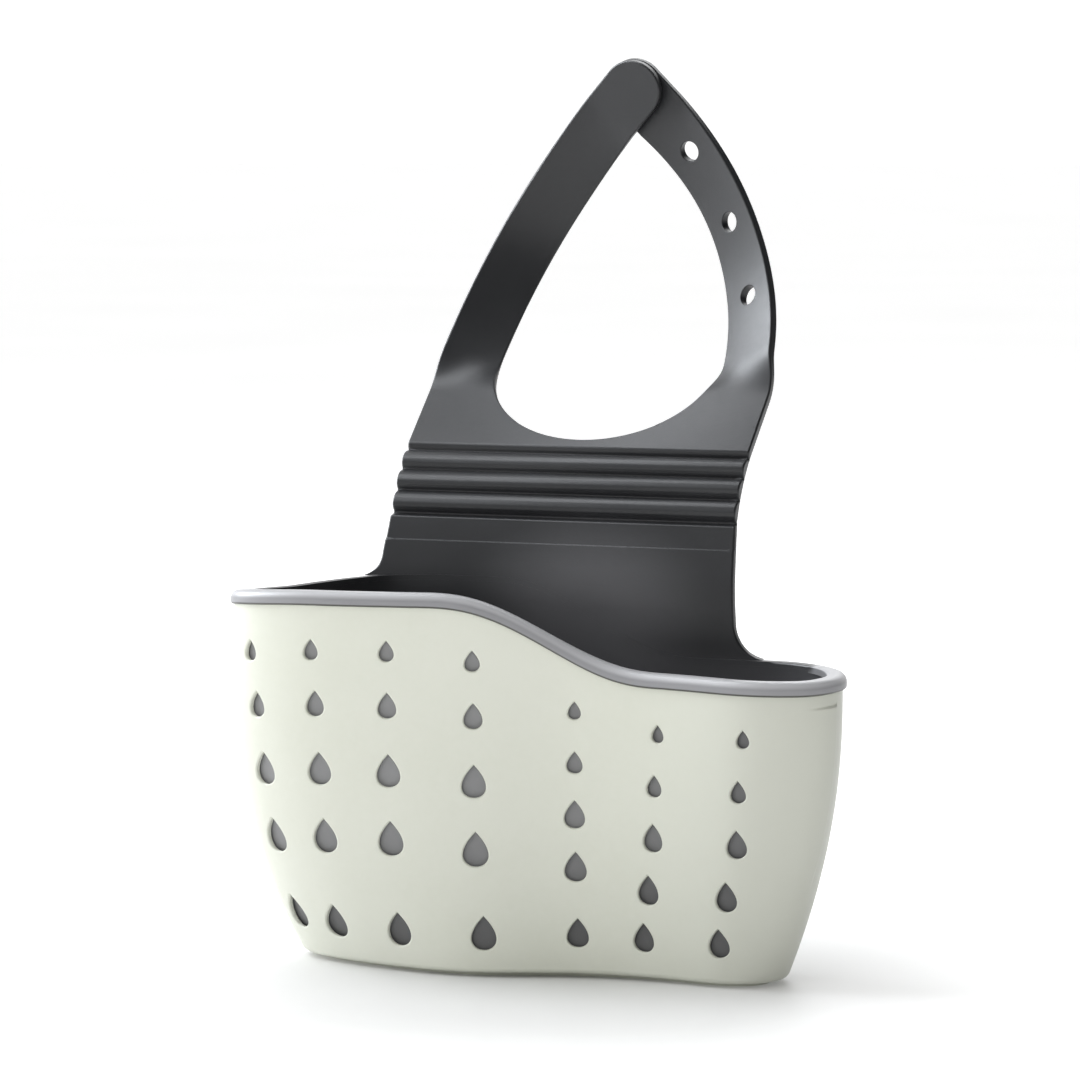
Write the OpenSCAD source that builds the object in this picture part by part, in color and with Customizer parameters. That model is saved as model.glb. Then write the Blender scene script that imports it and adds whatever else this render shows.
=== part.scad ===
// Sink caddy: a rigid shell with drop windows, a soft basket inside it, and a strap that folds and snaps shut.
// X runs along the width, the front faces -Y, and the underside stands on Z = 0.

/* [Basket] */
// Width over the rim
basket_w = 190.5; // [160:0.5:240]
// Depth over the rim
basket_d = 64; // [55:0.5:85]
// Height of the rim at the tall left end
rim_high = 117; // [105:1:140]
// Height of the rim at the low right end
rim_low = 94.5; // [85:0.5:104]
// Place along X of the middle of the rim's wave
wave_x = 7; // [-10:1:20]
// Length along X that the wave takes
wave_w = 73; // [55:1:90]
// Height at which the walls begin to draw in towards the foot
taper_h = 86; // [60:1:90]
// How suddenly the walls draw in
taper_curve = 2.1; // [1.5:0.1:3]

/* [Shell and liner] */
// Thickness of the rigid shell
shell_t = 1.8; // [1.4:0.1:2.4]
// Thickness of the shell's floor
floor_t = 2; // [1.5:0.1:3]
// Radius of the shell's bottom edge
foot_r = 3; // [2:0.5:5]
// Thickness of the soft liner
liner_t = 1.6; // [1.2:0.1:2.2]
// Gap between the shell and the liner
liner_gap = 0.3; // [0.2:0.05:0.5]
// Diameter of the drain holes in both floors
drain_d = 6; // [4:0.5:8]
// Distance between drain holes
drain_pitch = 20; // [16:1:24]
// Distance of the front row of drain holes behind the middle
drain_row_y = 1.5; // [0:0.5:4]
// Distance between the two rows of drain holes
drain_row_gap = 12; // [9:0.5:13]

/* [Drop windows] */
// Height of the largest window under the tall rim
drop_tall_h = 10.6; // [8:0.2:12]
// Height of the largest window under the low rim
drop_low_h = 9; // [7:0.2:10]
// Width of a window as a share of its height
drop_width_share = 0.74; // [0.6:0.01:0.9]

/* [Rim] */
// Width of the rim bead across the wall
rim_w = 6.5; // [6:0.1:8]
// Height of the rim bead's outer skirt
rim_skirt_h = 5; // [4:0.1:7]
// Height of the rim bead's inner skirt
rim_inner_h = 4; // [3:0.1:6]
// Rounding of the rim bead's top
rim_round = 1.5; // [1:0.1:2]
// Thickness of the rim bead's outer skirt
skirt_t = 1.1; // [0.8:0.1:1.5]

/* [Plate and fold ribs] */
// Place along X of the middle of the strap
strap_x = -7; // [-12:1:0]
// Width of the plate at its foot
plate_w = 117; // [114:1:122]
// Width of the ribs and of the strap above them
strap_w = 113.5; // [108:0.5:114]
// Thickness of the plate
plate_t = 3; // [2.4:0.1:3.6]
// Height of the lowest fold line over the tall rim
plate_rise = 17.6; // [14:0.2:24]
// Backward lean of the plate at the lowest fold line
plate_lean = 14; // [8:1:18]
// Distance from the lowest fold line down to the start of the plate's bend
bend_drop = 26.6; // [23:0.2:30]
// Radius of the bend into the lean
bend_r = 50; // [35:1:60]
// Rounding between the plate's left edge and the rim
root_left_r = 7; // [4:0.5:9]
// Rounding between the plate's right edge and the rim
root_right_r = 11; // [7:0.5:13]
// Depth of the ledge across the plate's front
ledge_t = 0.5; // [0.3:0.1:0.8]
// Distance from the lowest fold line down to the ledge
ledge_drop = 8.5; // [6:0.5:12]
// Number of ribs between the fold lines
rib_count = 3; // [3:1:3]
// Distance between fold lines
rib_pitch = 7.2; // [6:0.1:8.5]
// Bend that each fold line has at rest
groove_angle = 8.5; // [6:0.5:10]
// Half of the groove's width at the front
groove_half_w = 1; // [0.6:0.1:1.4]
// Rise of a rib's rounded front over the plate
rib_crown = 0.5; // [0.2:0.1:0.8]
// Gap between pieces that move against each other
move_gap = 0.3; // [0.2:0.05:0.4]

/* [Strap] */
// Thickness of the strap above the ribs
strap_t = 2.8; // [2.2:0.1:3.4]
// Width of the loop's round bottom
loop_w = 74; // [66:1:78]
// Depth of the loop's round bottom
loop_d = 32; // [28:1:36]
// Distance from the last fold line to the bottom of the loop
loop_foot = 5; // [4:0.5:8]
// Distance from the last fold line to the roots of the arms
arm_root = 24; // [20:1:28]
// Width of an arm
arm_w = 19; // [16:0.5:21]
// Length of the stretch over which an arm leaves the yoke
arm_rise = 40; // [34:1:44]
// Length of the stretch over which an arm comes in to the stud
arm_reach = 41; // [36:1:46]
// Height of the snap stud above the arms' roots
stud_rise = 96.3; // [90:0.1:102]
// Distance of the snap stud behind the arms' roots
stud_back = 32.4; // [28:0.1:36]
// Straight stretch of each arm before the stud
tip_flat = 12; // [11:0.5:14]
// Slant of the arms at the stud, from upright
tip_slant = 43; // [38:1:48]
// Forward tilt of the arms at the stud
tip_tilt = 10; // [5:1:15]
// Largest turn of an arm's face towards the other arm
arm_turn_angle = 31; // [24:1:36]

/* [Snap] */
// Diameter of the snap holes
hole_d = 6.4; // [5.5:0.1:8]
// Distance between snap holes along the arm
hole_pitch = 26.6; // [20:0.2:28]
// Number of snap holes
hole_count = 4; // [2:1:4]
// Clearance of the stud's neck in its hole, all round
neck_gap = 0.3; // [0.2:0.05:0.5]
// Diameter of the stud's head
head_d = 9.4; // [8:0.2:12]
// Height of the stud's head
head_h = 3.4; // [2.5:0.1:4.5]

/* [Hidden] */

shell_colour = [0.83, 0.85, 0.78];
soft_colour = [0.24, 0.25, 0.28];
rim_colour = [0.62, 0.62, 0.65];

// Clearance between pieces that sit in each other
fit_gap = 0.1;
// How far a cut runs past the face it starts from
overrun = 1;
// Steps of the outline between two of its guiding points
outline_steps = 5;
// Steps of a drop window's outline
drop_steps = 16;
// Steps along an arm
arm_steps = 26;
// Steps round an arm's tip
tip_steps = 6;
// Steps of the loop's round bottom
loop_steps = 20;
// Corner bevel along the arms
arm_bevel = 0.5;

// Guiding points of the rim's outline and of the foot's, as shares of the width and the depth
rim_shares = [[-0.258, 0.462], [0, 0.462], [0.259, 0.462], [0.39, 0.42], [0.511, 0.132],
    [0.496, -0.197], [0.397, -0.331], [0.334, -0.331], [0.215, -0.243], [0.068, -0.243],
    [-0.079, -0.423], [-0.285, -0.542], [-0.391, -0.544], [-0.51, -0.426], [-0.5, -0.052], [-0.393, 0.437]];
foot_shares = [[-0.244, 0.392], [0, 0.392], [0.24, 0.392], [0.36, 0.34], [0.417, 0.074],
    [0.38, -0.146], [0.318, -0.199], [0.281, -0.19], [0.215, -0.157], [0.068, -0.157],
    [-0.079, -0.399], [-0.235, -0.307], [-0.28, -0.273], [-0.414, -0.141], [-0.44, 0.141], [-0.36, 0.376]];
// Places of the windows, as shares of the way round the outline, by column and by row from the foot up
window_place_shares = [[0.792, 0.7765, 0.77, 0.772, 0.78], [0.744, 0.7185, 0.712, 0.712, 0.7155],
    [0.6727, 0.6668, 0.6645, 0.664, 0.6643], [0.6153, 0.618, 0.618, 0.618, 0.6185],
    [0.5563, 0.5565, 0.5565, 0.5562, 0.5562], [0.5081, 0.5038, 0.4997, 0.4987, 0.4959],
    [0.4064, 0.4076, 0.4016, 0.4061, 0.4026]];
// Heights of the windows, as shares of the rim's height, in the same order
window_rise_shares = [[0.136, 0.346, 0.524, 0.691, 0.83], [0.124, 0.356, 0.534, 0.703, 0.842],
    [0.116, 0.357, 0.534, 0.703, 0.843], [0.118, 0.34, 0.519, 0.69, 0.833],
    [0.139, 0.34, 0.498, 0.654, 0.809], [0.144, 0.3, 0.469, 0.635, 0.802],
    [0.147, 0.299, 0.47, 0.637, 0.804]];
// How many window columns are under the tall rim
tall_columns = 4;
// Sizes of the window rows, as shares of the largest window
row_size_shares = [0.98, 1, 0.94, 0.73, 0.59];
// Places where the rim bead begins and ends, as shares of the way round the outline
bead_start_share = 0.2;
bead_end_share = 0.8625;

function mix(a, b, k) = a + (b - a) * k;
function smooth(k) = let (q = min(max(k, 0), 1)) q * q * q * (q * (6 * q - 15) + 10);
function unit(v) = v / norm(v);

// Closed cubic spline guided by the points, at place s counted in points
function spline_at(pts, s) =
    let (n = len(pts), i = floor(s), f = s - i,
        a = pts[(i + n - 1) % n], b = pts[i % n], c = pts[(i + 1) % n], d = pts[(i + 2) % n])
    (pow(1 - f, 3) * a + (3 * pow(f, 3) - 6 * f * f + 4) * b
        + (3 * f + 3 * f * f - 3 * pow(f, 3) + 1) * c + pow(f, 3) * d) / 6;

guides = len(rim_shares);
bead_start = guides * bead_start_share;
bead_end = guides * bead_end_share;
outline_n = guides * outline_steps;
raw_rim = [for (i = [0 : outline_n - 1]) spline_at(rim_shares, i / outline_steps)];
raw_x = [for (p = raw_rim) p.x];
raw_y = [for (p = raw_rim) p.y];
raw_scale = [basket_w / (max(raw_x) - min(raw_x)), basket_d / (max(raw_y) - min(raw_y))];

function scaled(p) = [p.x * raw_scale.x, p.y * raw_scale.y];
function rim_height(x) = mix(rim_low, rim_high, smooth((wave_x + wave_w / 2 - x) / wave_w));
function draw_in(z) = z < taper_h ? pow(1 - max(z, 0) / taper_h, taper_curve) : 0;

// A point of the basket's outline at place s and height z, the inward normal there, and both for all places
function wall_at(s, z) =
    mix(scaled(spline_at(rim_shares, s)), scaled(spline_at(foot_shares, s)), draw_in(z));
function inward_at(s, z) =
    let (step = 0.5 / outline_steps, t = unit(wall_at(s + step, z) - wall_at(s + guides - step, z))) [t.y, -t.x];
function place(i) = (i % outline_n) / outline_steps;
function wall_point(s, z, inset) = wall_at(s, z) + inset * inward_at(s, z);
function rim_top(s) = rim_height(scaled(spline_at(rim_shares, s)).x);

// Ring of the wall at a height that is a share of the rim's, less a drop, and a ring at one level
function wall_ring(share, low, drop, inset) = [for (i = [0 : outline_n - 1])
    let (s = place(i), z = mix(low, rim_top(s) - drop, share), p = wall_point(s, z, inset)) [p.x, p.y, z]];
function level_ring(z, inset) = wall_ring(0, z, 0, inset);

// Solid through rings of equal length, closed at both ends onto a middle point
module ring_solid(rings) {
    n = len(rings[0]);
    last = len(rings) - 1;
    mid_x = strap_x;
    mid_a = [mid_x, 0, rings[0][0].z];
    mid_b = [mid_x, 0, rings[last][0].z];
    points = concat([for (r = rings) each r], [mid_a, mid_b]);
    sides = [for (k = [0 : last - 1], i = [0 : n - 1])
        let (a = k * n + i, b = k * n + (i + 1) % n, c = a + n, d = b + n) each [[a, b, d], [a, d, c]]];
    caps = [for (i = [0 : n - 1]) let (j = (i + 1) % n)
        each [[j, i, (last + 1) * n], [last * n + i, last * n + j, (last + 1) * n + 1]]];
    polyhedron(points, concat(sides, caps));
}

// Depths of the layers behind the rim's outline
shell_out = skirt_t + fit_gap;
shell_in = shell_out + shell_t;
liner_out = shell_in + liner_gap;
liner_in = liner_out + liner_t;
// Level below the rim's top at which the shell and the liner end
seat_drop = rim_round + 2 * fit_gap;
liner_z = floor_t + liner_gap;
liner_floor = liner_z + liner_t;
wall_shares = [0.04, 0.09, 0.15, 0.22, 0.3, 0.4, 0.52, 0.66, 0.83, 1];

// Cup between two depths behind the outline, standing at a level, with a floor
module cup(out, in, low, floor_z, edge_r) {
    bottom_edge = [for (a = [0 : 30 : 60])
        level_ring(low + edge_r * (1 - cos(a)), out + edge_r * (1 - sin(a)))];
    outer = [for (k = wall_shares) wall_ring(k, low, seat_drop, out)];
    inner = [for (k = [len(wall_shares) - 1 : -1 : 0])
        wall_ring(wall_shares[k], floor_z, seat_drop, in)];
    corner = [level_ring(floor_z + edge_r / 2, in), level_ring(floor_z, in + edge_r / 2)];
    ring_solid(concat(bottom_edge, outer, inner, corner));
}

module drains(low, high) {
    for (i = [-3 : 2], j = [0 : 1])
        translate([(i + (1 - j) / 2) * drain_pitch, drain_row_y + j * drain_row_gap, low])
            cylinder(h = high - low, d = drain_d, $fn = 24);
}

// Outline of a drop window, pointed at the top
function drop_outline(h) = [for (k = [0 : drop_steps - 1])
    let (a = 360 * k / drop_steps, half_w = h * drop_width_share / 2 / 0.77)
    [half_w * sin(a) * sin(a / 2), h / 2 * cos(a)]];

// Place, height and size of a window
function window_place(col, row) = guides * window_place_shares[col][row];
function window_z(col, row) = rim_top(window_place(col, row)) * window_rise_shares[col][row];
function window_h(col, row) = (col < tall_columns ? drop_tall_h : drop_low_h) * row_size_shares[row];

module window_cut(col, row) {
    s = window_place(col, row);
    z = window_z(col, row);
    n = inward_at(s, z);
    p = wall_point(s, z, shell_in);
    translate([p.x, p.y, z])
        rotate([90, 0, atan2(-n.x, n.y)])
            linear_extrude(height = 6 * shell_t, center = true)
                polygon(drop_outline(window_h(col, row)));
}

module outer_shell() {
    color(shell_colour)
        difference() {
            cup(shell_out, shell_in, 0, floor_t, foot_r);
            for (col = [0 : len(window_place_shares) - 1], row = [0 : len(row_size_shares) - 1])
                window_cut(col, row);
            drains(-overrun, floor_t + overrun);
        }
}

module inner_liner() {
    color(soft_colour)
        difference() {
            cup(liner_out, liner_in, liner_z, liner_floor, foot_r);
            drains(liner_z - overrun, liner_floor + overrun);
        }
}

// Sections of the two edge mouldings, as depth behind the outline and height over the rim's top
function corner_arc(x, from, to) = [for (k = [0 : 3])
    let (a = mix(from, to, k / 3)) [x + rim_round * cos(a), rim_round * (sin(a) - 1)]];
bead_outer = concat([[0, -rim_skirt_h]], corner_arc(rim_round, 180, 90),
    corner_arc(rim_w - rim_round, 90, 0), [[rim_w, -rim_inner_h]]);
bead_inner = [[liner_in + fit_gap, -rim_inner_h], [liner_in + fit_gap, -rim_round - fit_gap],
    [skirt_t, -rim_round - fit_gap], [skirt_t, -rim_skirt_h]];
bead_caps = [[0, 1, 12], [0, 12, 13], [12, 1, 2], [12, 2, 3], [12, 3, 4], [12, 4, 5], [12, 5, 11],
    [11, 5, 6], [11, 6, 7], [11, 7, 8], [11, 8, 9], [11, 9, 10]];
lip_outer = concat([[0, -rim_skirt_h]], corner_arc(rim_round, 180, 90), [[liner_in, 0]]);
lip_inner = [[liner_in, -rim_round - fit_gap], [skirt_t, -rim_round - fit_gap], [skirt_t, -rim_skirt_h]];
lip_caps = [[0, 1, 7], [0, 7, 8], [7, 1, 2], [7, 2, 3], [7, 3, 4], [7, 4, 5], [7, 5, 6]];

// Moulding that follows the rim from one place of the outline to another
module edge_moulding(section, caps, from, to) {
    m = len(section);
    steps = round((to - from) * outline_steps);
    points = [for (k = [0 : steps], q = section)
        let (s = mix(from, to, k / steps), p = wall_point(s % guides, rim_top(s % guides), q[0]))
        [p.x, p.y, rim_top(s % guides) + q[1]]];
    sides = [for (k = [0 : steps - 1], i = [0 : m - 1])
        let (a = k * m + i, b = k * m + (i + 1) % m, c = a + m, d = b + m) each [[a, d, b], [a, c, d]]];
    last_cap = [for (f = caps) [f[2] + steps * m, f[1] + steps * m, f[0] + steps * m]];
    polyhedron(points, concat(sides, caps, last_cap));
}

module rim_bead() {
    color(rim_colour)
        edge_moulding(concat(bead_outer, bead_inner), bead_caps, bead_start, bead_end);
}

module back_lip() {
    color(soft_colour)
        edge_moulding(concat(lip_outer, lip_inner), lip_caps, bead_end, guides + bead_start);
}

// Middle of the plate's thickness, as Y and Z, at a distance along it from the start of its bend
back_y = wall_at(1, rim_low).y;
plate_y = back_y - liner_in + plate_t / 2;
bend_len = bend_r * plate_lean * PI / 180;
fold_z = rim_high + plate_rise;
bend_z = fold_z - bend_drop;
function plate_turn(s) = min(max(s, 0) / bend_r * 180 / PI, plate_lean);
function plate_mid(s) =
    let (a = plate_turn(s), rest = max(s - bend_len, 0))
    [plate_y + bend_r * (1 - cos(a)) + rest * sin(a), bend_z + min(s, 0) + bend_r * sin(a) + rest * cos(a)];
// Same, moved towards the front of the plate
function plate_side(s, front) = let (a = plate_turn(s)) plate_mid(s) + front * [-cos(a), sin(a)];
fold_s = bend_len + (fold_z - bend_z - bend_r * sin(plate_lean) + plate_t / 2 * sin(plate_lean)) / cos(plate_lean);
low_s = rim_low - bend_z - root_right_r;

// Fold lines lie in the back face: the lean of the piece above each one, and its place as Y and Z
function fold_lean(k) = plate_lean + k * groove_angle;
function fold_line(k) = k == 0 ? plate_side(fold_s, -plate_t / 2)
    : fold_line(k - 1) + rib_pitch * [sin(fold_lean(k)), cos(fold_lean(k))];
last_fold = rib_count;

// Side profile given as Y and Z points, run across the strap
module across(width, outline) {
    translate([strap_x, 0, 0])
        rotate([90, 0, 90])
            linear_extrude(height = width, center = true)
                polygon(outline);
}

function root_arc(x, z, r, side, angles) =
    [for (a = angles) [x + side * r * (1 - cos(a)), z + r * (1 - sin(a))]];

module back_plate() {
    front = plate_t / 2;
    groove = move_gap / 2 + groove_half_w;
    ledge_s = fold_s - ledge_drop;
    bend_places = [for (k = [0 : 4]) bend_len * k / 4];
    profile = concat(
        [plate_side(low_s, front)], [for (s = bend_places) plate_side(s, front)],
        [plate_side(ledge_s, front), plate_side(ledge_s, front - ledge_t)],
        [plate_side(fold_s - groove, front - ledge_t), plate_side(fold_s - move_gap / 2, -front)],
        [for (k = [4 : -1 : 0]) plate_side(bend_places[k], -front)], [plate_side(low_s, -front)]);
    left = strap_x - plate_w / 2;
    right = strap_x + plate_w / 2;
    foot_gap = 2 * fit_gap;
    foot_steps = 48;
    foot_x = [for (k = [0 : foot_steps]) mix(right + root_right_r, left - root_left_r, k / foot_steps)];
    face = concat(
        root_arc(left, rim_height(left) + foot_gap, root_left_r, -1, [90 : -15 : 0]),
        [[strap_x - strap_w / 2, fold_z + plate_t], [strap_x + strap_w / 2, fold_z + plate_t]],
        root_arc(right, rim_height(right) + foot_gap, root_right_r, 1, [0 : 15 : 90]),
        [for (k = [1 : foot_steps - 1]) [foot_x[k], rim_height(foot_x[k]) + foot_gap]]);
    color(soft_colour)
        intersection() {
            across(plate_w + 2 * (root_left_r + root_right_r), profile);
            translate([0, plate_y + basket_d, 0])
                rotate([90, 0, 0])
                    linear_extrude(height = 2 * basket_d)
                        polygon(face);
        }
}

// Cross-section of a rib between two fold lines, as distance to the front and distance up
function rib_outline() =
    let (low = move_gap / 2, high = rib_pitch - move_gap / 2, side_t = plate_t - rib_crown - ledge_t,
        foot = low + groove_half_w * side_t / plate_t, head = high - groove_half_w * side_t / plate_t)
    concat([[0, high], [0, low], [side_t, foot]],
        [for (k = [1 : 7]) [side_t + (plate_t + rib_crown - side_t) * sin(180 * k / 8), mix(foot, head, k / 8)]],
        [[side_t, head]]);

// Turns distances to the front and up, measured from a fold line, into Y and Z
function from_fold(k, q) =
    let (a = fold_lean(k)) fold_line(k - 1) + q[0] * [-cos(a), sin(a)] + q[1] * [sin(a), cos(a)];

module fold_rib(k) {
    color(soft_colour)
        across(strap_w, [for (q = rib_outline()) from_fold(k, q)]);
}

module fold_rib_1() {
    fold_rib(1);
}

module fold_rib_2() {
    fold_rib(2);
}

module fold_rib_3() {
    fold_rib(3);
}

strap_lean = fold_lean(last_fold + 1);
strap_foot = fold_line(last_fold);
loop_mid = loop_foot + loop_d;

// Half-width of the loop at a distance up from the last fold line
function loop_half(up) = let (k = (loop_mid - up) / loop_d) loop_w / 2 * sqrt(max(1 - k * k, 0));

module strap_yoke() {
    top = arm_root - move_gap / 2;
    low = move_gap / 2;
    end_a = asin((loop_mid - top) / loop_d);
    loop_edge = [for (k = [0 : loop_steps]) let (a = mix(180 + end_a, 360 - end_a, k / loop_steps))
        [loop_w / 2 * cos(a), loop_mid + loop_d * sin(a)]];
    color(soft_colour)
        translate([strap_x, strap_foot[0], strap_foot[1]])
            rotate([90 - strap_lean, 0, 0])
                difference() {
                    linear_extrude(height = strap_t)
                        polygon(concat([[strap_w / 2, low], [strap_w / 2, top]],
                            [for (k = [loop_steps : -1 : 0]) loop_edge[k]],
                            [[-strap_w / 2, top], [-strap_w / 2, low]]));
                    translate([0, low, 0])
                        rotate([atan2(strap_t, groove_half_w), 0, 0])
                            translate([-strap_w, -overrun, 0])
                                cube([2 * strap_w, strap_t + 2 * overrun, strap_t + overrun]);
                }
}

// Middle line of an arm: a curve up from the yoke, a straight stretch to the stud, and the round tip
strap_up = [0, sin(strap_lean), cos(strap_lean)];
root_width = strap_w / 2 - loop_half(arm_root);
root_point = [(strap_w / 2 + loop_half(arm_root)) / 2, strap_foot[0], strap_foot[1]]
    + (arm_root + move_gap / 2) * strap_up + strap_t / 2 * [0, -cos(strap_lean), sin(strap_lean)];
tip_dir = unit([-sin(tip_slant), -cos(tip_slant) * tan(tip_tilt), cos(tip_slant)]);
stud_point = [0, root_point.y + stud_back, root_point.z + stud_rise];
flat_point = stud_point - tip_flat * tip_dir;
root_handle = root_point + arm_rise * strap_up;
tip_handle = flat_point - arm_reach * tip_dir;
function curve_at(t) = pow(1 - t, 3) * root_point + 3 * t * pow(1 - t, 2) * root_handle
    + 3 * t * t * (1 - t) * tip_handle + pow(t, 3) * flat_point;
function curve_dir(t) = unit(pow(1 - t, 2) * (root_handle - root_point)
    + 2 * t * (1 - t) * (tip_handle - root_handle) + t * t * (flat_point - tip_handle));
function turn_at(t) = arm_turn_angle * smooth(t / 0.16) * (1 - pow(t, 4));
function half_width_at(t) = mix(arm_w, root_width, pow(1 - min(t / 0.2, 1), 3)) / 2;

// Stations of an arm: middle, direction, turn of the face, half width and share of the way to the stud
curve_stations = [for (k = [0 : arm_steps]) let (t = k / arm_steps)
    [curve_at(t), curve_dir(t), turn_at(t), half_width_at(t), t]];
tip_stations = concat([[stud_point, tip_dir, 0, arm_w / 2, 1]], [for (k = [1 : tip_steps])
    let (a = 86 * k / tip_steps) [stud_point + arm_w / 2 * sin(a) * tip_dir, tip_dir, 0, arm_w / 2 * cos(a), 1]]);
stations = concat(curve_stations, tip_stations);

// Left arm passes in front of the right one: side is -1 for the left arm and 1 for the right one.
// The outer edge runs straight on from the yoke where the inner edge draws the arm in.
tip_offset = (strap_t + move_gap) / 2;
function dir_of(side, st) = [side * st[1].x, st[1].y, st[1].z];
function face_vector(side, st) =
    let (h = [-side * cos(st[2]), sin(st[2]), 0], d = dir_of(side, st)) unit(h - (h * d) * d);
function front_of(side, st) = -side * cross(face_vector(side, st), dir_of(side, st));
function mid_of(side, st) = [strap_x + side * st[0].x, st[0].y, st[0].z]
    - (root_width / 2 - st[3]) * (1 - smooth(st[4])) * face_vector(side, st)
    - side * tip_offset * smooth((st[4] - 0.35) / 0.6) * front_of(side, st);

module arm(side) {
    ring = [[-1, -1, 1, 0], [-1, -1, 0, 1], [-1, 1, 0, 1], [-1, 1, 1, 0],
        [1, 1, 1, 0], [1, 1, 0, 1], [1, -1, 0, 1], [1, -1, 1, 0]];
    half_t = strap_t / 2;
    m = len(ring);
    points = [for (st = stations, q = ring)
        let (bevel = min(arm_bevel, st[3] / 2))
        mid_of(side, st) + q[0] * (st[3] - q[2] * bevel) * face_vector(side, st)
            + q[1] * (half_t - q[3] * bevel) * front_of(side, st)];
    last = len(stations) - 1;
    sides = [for (k = [0 : last - 1], i = [0 : m - 1])
        let (a = k * m + i, b = k * m + (i + 1) % m, c = a + m, d = b + m) each [[a, b, d], [a, d, c]]];
    caps = [for (i = [1 : m - 2]) each [[0, i + 1, i], [last * m, last * m + i, last * m + i + 1]]];
    faces = concat(sides, caps);
    polyhedron(points, side > 0 ? faces : [for (f = faces) [f[2], f[1], f[0]]]);
}

// Distance along the arm back from the stud, and the station at such a distance
function way_back(k) = k >= arm_steps ? tip_flat
    : way_back(k + 1) + norm(curve_stations[k + 1][0] - curve_stations[k][0]);
function station_back(d, k = arm_steps) =
    d <= tip_flat ? [stud_point - d * tip_dir, tip_dir, 0, arm_w / 2, 1]
    : way_back(k - 1) < d ? station_back(d, k - 1)
    : let (f = (way_back(k - 1) - d) / (way_back(k - 1) - way_back(k)), t = (k - 1 + f) / arm_steps)
        [curve_at(t), curve_dir(t), turn_at(t), half_width_at(t), t];

// Puts what stands on the origin, along Z, square through an arm at a station
module on_arm(side, st) {
    f = front_of(side, st);
    translate(mid_of(side, st))
        rotate([0, acos(-f.z), atan2(-f.y, -f.x)])
            children();
}

module left_arm() {
    color(soft_colour)
        arm(-1);
}

module right_arm() {
    color(soft_colour)
        difference() {
            arm(1);
            for (k = [0 : hole_count - 1])
                on_arm(1, station_back(k * hole_pitch))
                    cylinder(h = 4 * strap_t, d = hole_d, center = true, $fn = 32);
        }
}

module snap_stud() {
    neck_r = hole_d / 2 - neck_gap;
    neck_h = strap_t + 2 * move_gap;
    color(soft_colour)
        on_arm(-1, tip_stations[0])
            translate([0, 0, strap_t / 2])
                rotate_extrude($fn = 40)
                    polygon(concat([[0, 0], [neck_r, 0], [neck_r, neck_h]],
                        [for (a = [0 : 15 : 75]) [mix(neck_r * 0.4, head_d / 2, cos(a)), neck_h + head_h * sin(a)]],
                        [[0, neck_h + head_h]]));
}

outer_shell();
inner_liner();
rim_bead();
back_lip();
back_plate();
fold_rib_1();
fold_rib_2();
fold_rib_3();
strap_yoke();
left_arm();
right_arm();
snap_stud();
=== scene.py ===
import math
import bpy
import numpy as np
from mathutils import Matrix
from mathutils.geometry import delaunay_2d_cdt, tessellate_polygon


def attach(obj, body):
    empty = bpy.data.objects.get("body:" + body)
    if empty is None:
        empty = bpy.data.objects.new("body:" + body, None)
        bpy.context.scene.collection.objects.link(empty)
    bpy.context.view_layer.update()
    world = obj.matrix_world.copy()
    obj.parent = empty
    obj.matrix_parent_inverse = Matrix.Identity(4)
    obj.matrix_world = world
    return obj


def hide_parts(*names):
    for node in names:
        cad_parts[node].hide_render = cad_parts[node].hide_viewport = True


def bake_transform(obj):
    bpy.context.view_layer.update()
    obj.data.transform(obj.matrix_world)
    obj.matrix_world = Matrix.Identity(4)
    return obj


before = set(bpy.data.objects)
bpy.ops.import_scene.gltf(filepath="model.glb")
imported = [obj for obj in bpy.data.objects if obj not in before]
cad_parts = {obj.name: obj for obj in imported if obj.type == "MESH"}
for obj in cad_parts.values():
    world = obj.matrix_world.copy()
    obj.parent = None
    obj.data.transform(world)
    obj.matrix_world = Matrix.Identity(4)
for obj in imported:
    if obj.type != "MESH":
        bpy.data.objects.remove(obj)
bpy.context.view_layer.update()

# Sizes are in millimetres, as in the part's source, and become metres when a mesh is made.
mm = 0.001
nearby = (0.05, 0.05)  # steps each way for the directions of a surface

print("stage 1: helpers")


def mix(a, b, k):
    return a + (b - a) * k


def smooth(k):
    q = np.clip(k, 0.0, 1.0)
    return q * q * q * (q * (6 * q - 15) + 10)


def unit(v):
    return v / np.maximum(np.linalg.norm(v, axis=-1, keepdims=True), 1e-12)


def across(a, b):
    return np.cross(a, b)


def curveThrough(places, values, at):
    # smooth curve through the points that never swings past them
    x = np.array(places, float)
    y = np.array(values, float)
    step = np.diff(x)
    slope = np.diff(y) / step
    both = slope[1:] * slope[:-1]
    inner = np.where(both > 0, 2 * slope[1:] * slope[:-1] / (slope[1:] + slope[:-1] + 1e-12), 0)
    m = np.concatenate([[slope[0]], inner, [slope[-1]]])
    at = np.clip(at, x[0], x[-1])
    i = np.clip(np.searchsorted(x, at) - 1, 0, len(step) - 1)
    h = step[i]
    k = (at - x[i]) / h
    low = y[i] * (1 + 2 * k) * (1 - k) ** 2 + h * m[i] * k * (1 - k) ** 2
    return low + y[i + 1] * k * k * (3 - 2 * k) + h * m[i + 1] * k * k * (k - 1)


def insideLoop(points, loop):
    # which points lie inside a closed outline
    x = points[:, 0]
    y = points[:, 1]
    found = np.zeros(len(points), bool)
    for a, b in zip(loop, np.roll(loop, -1, axis=0)):
        if a[1] == b[1]:
            continue
        hit = (a[1] > y) != (b[1] > y)
        found ^= hit & (x < (b[0] - a[0]) * (y - a[1]) / (b[1] - a[1]) + a[0])
    return found


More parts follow.
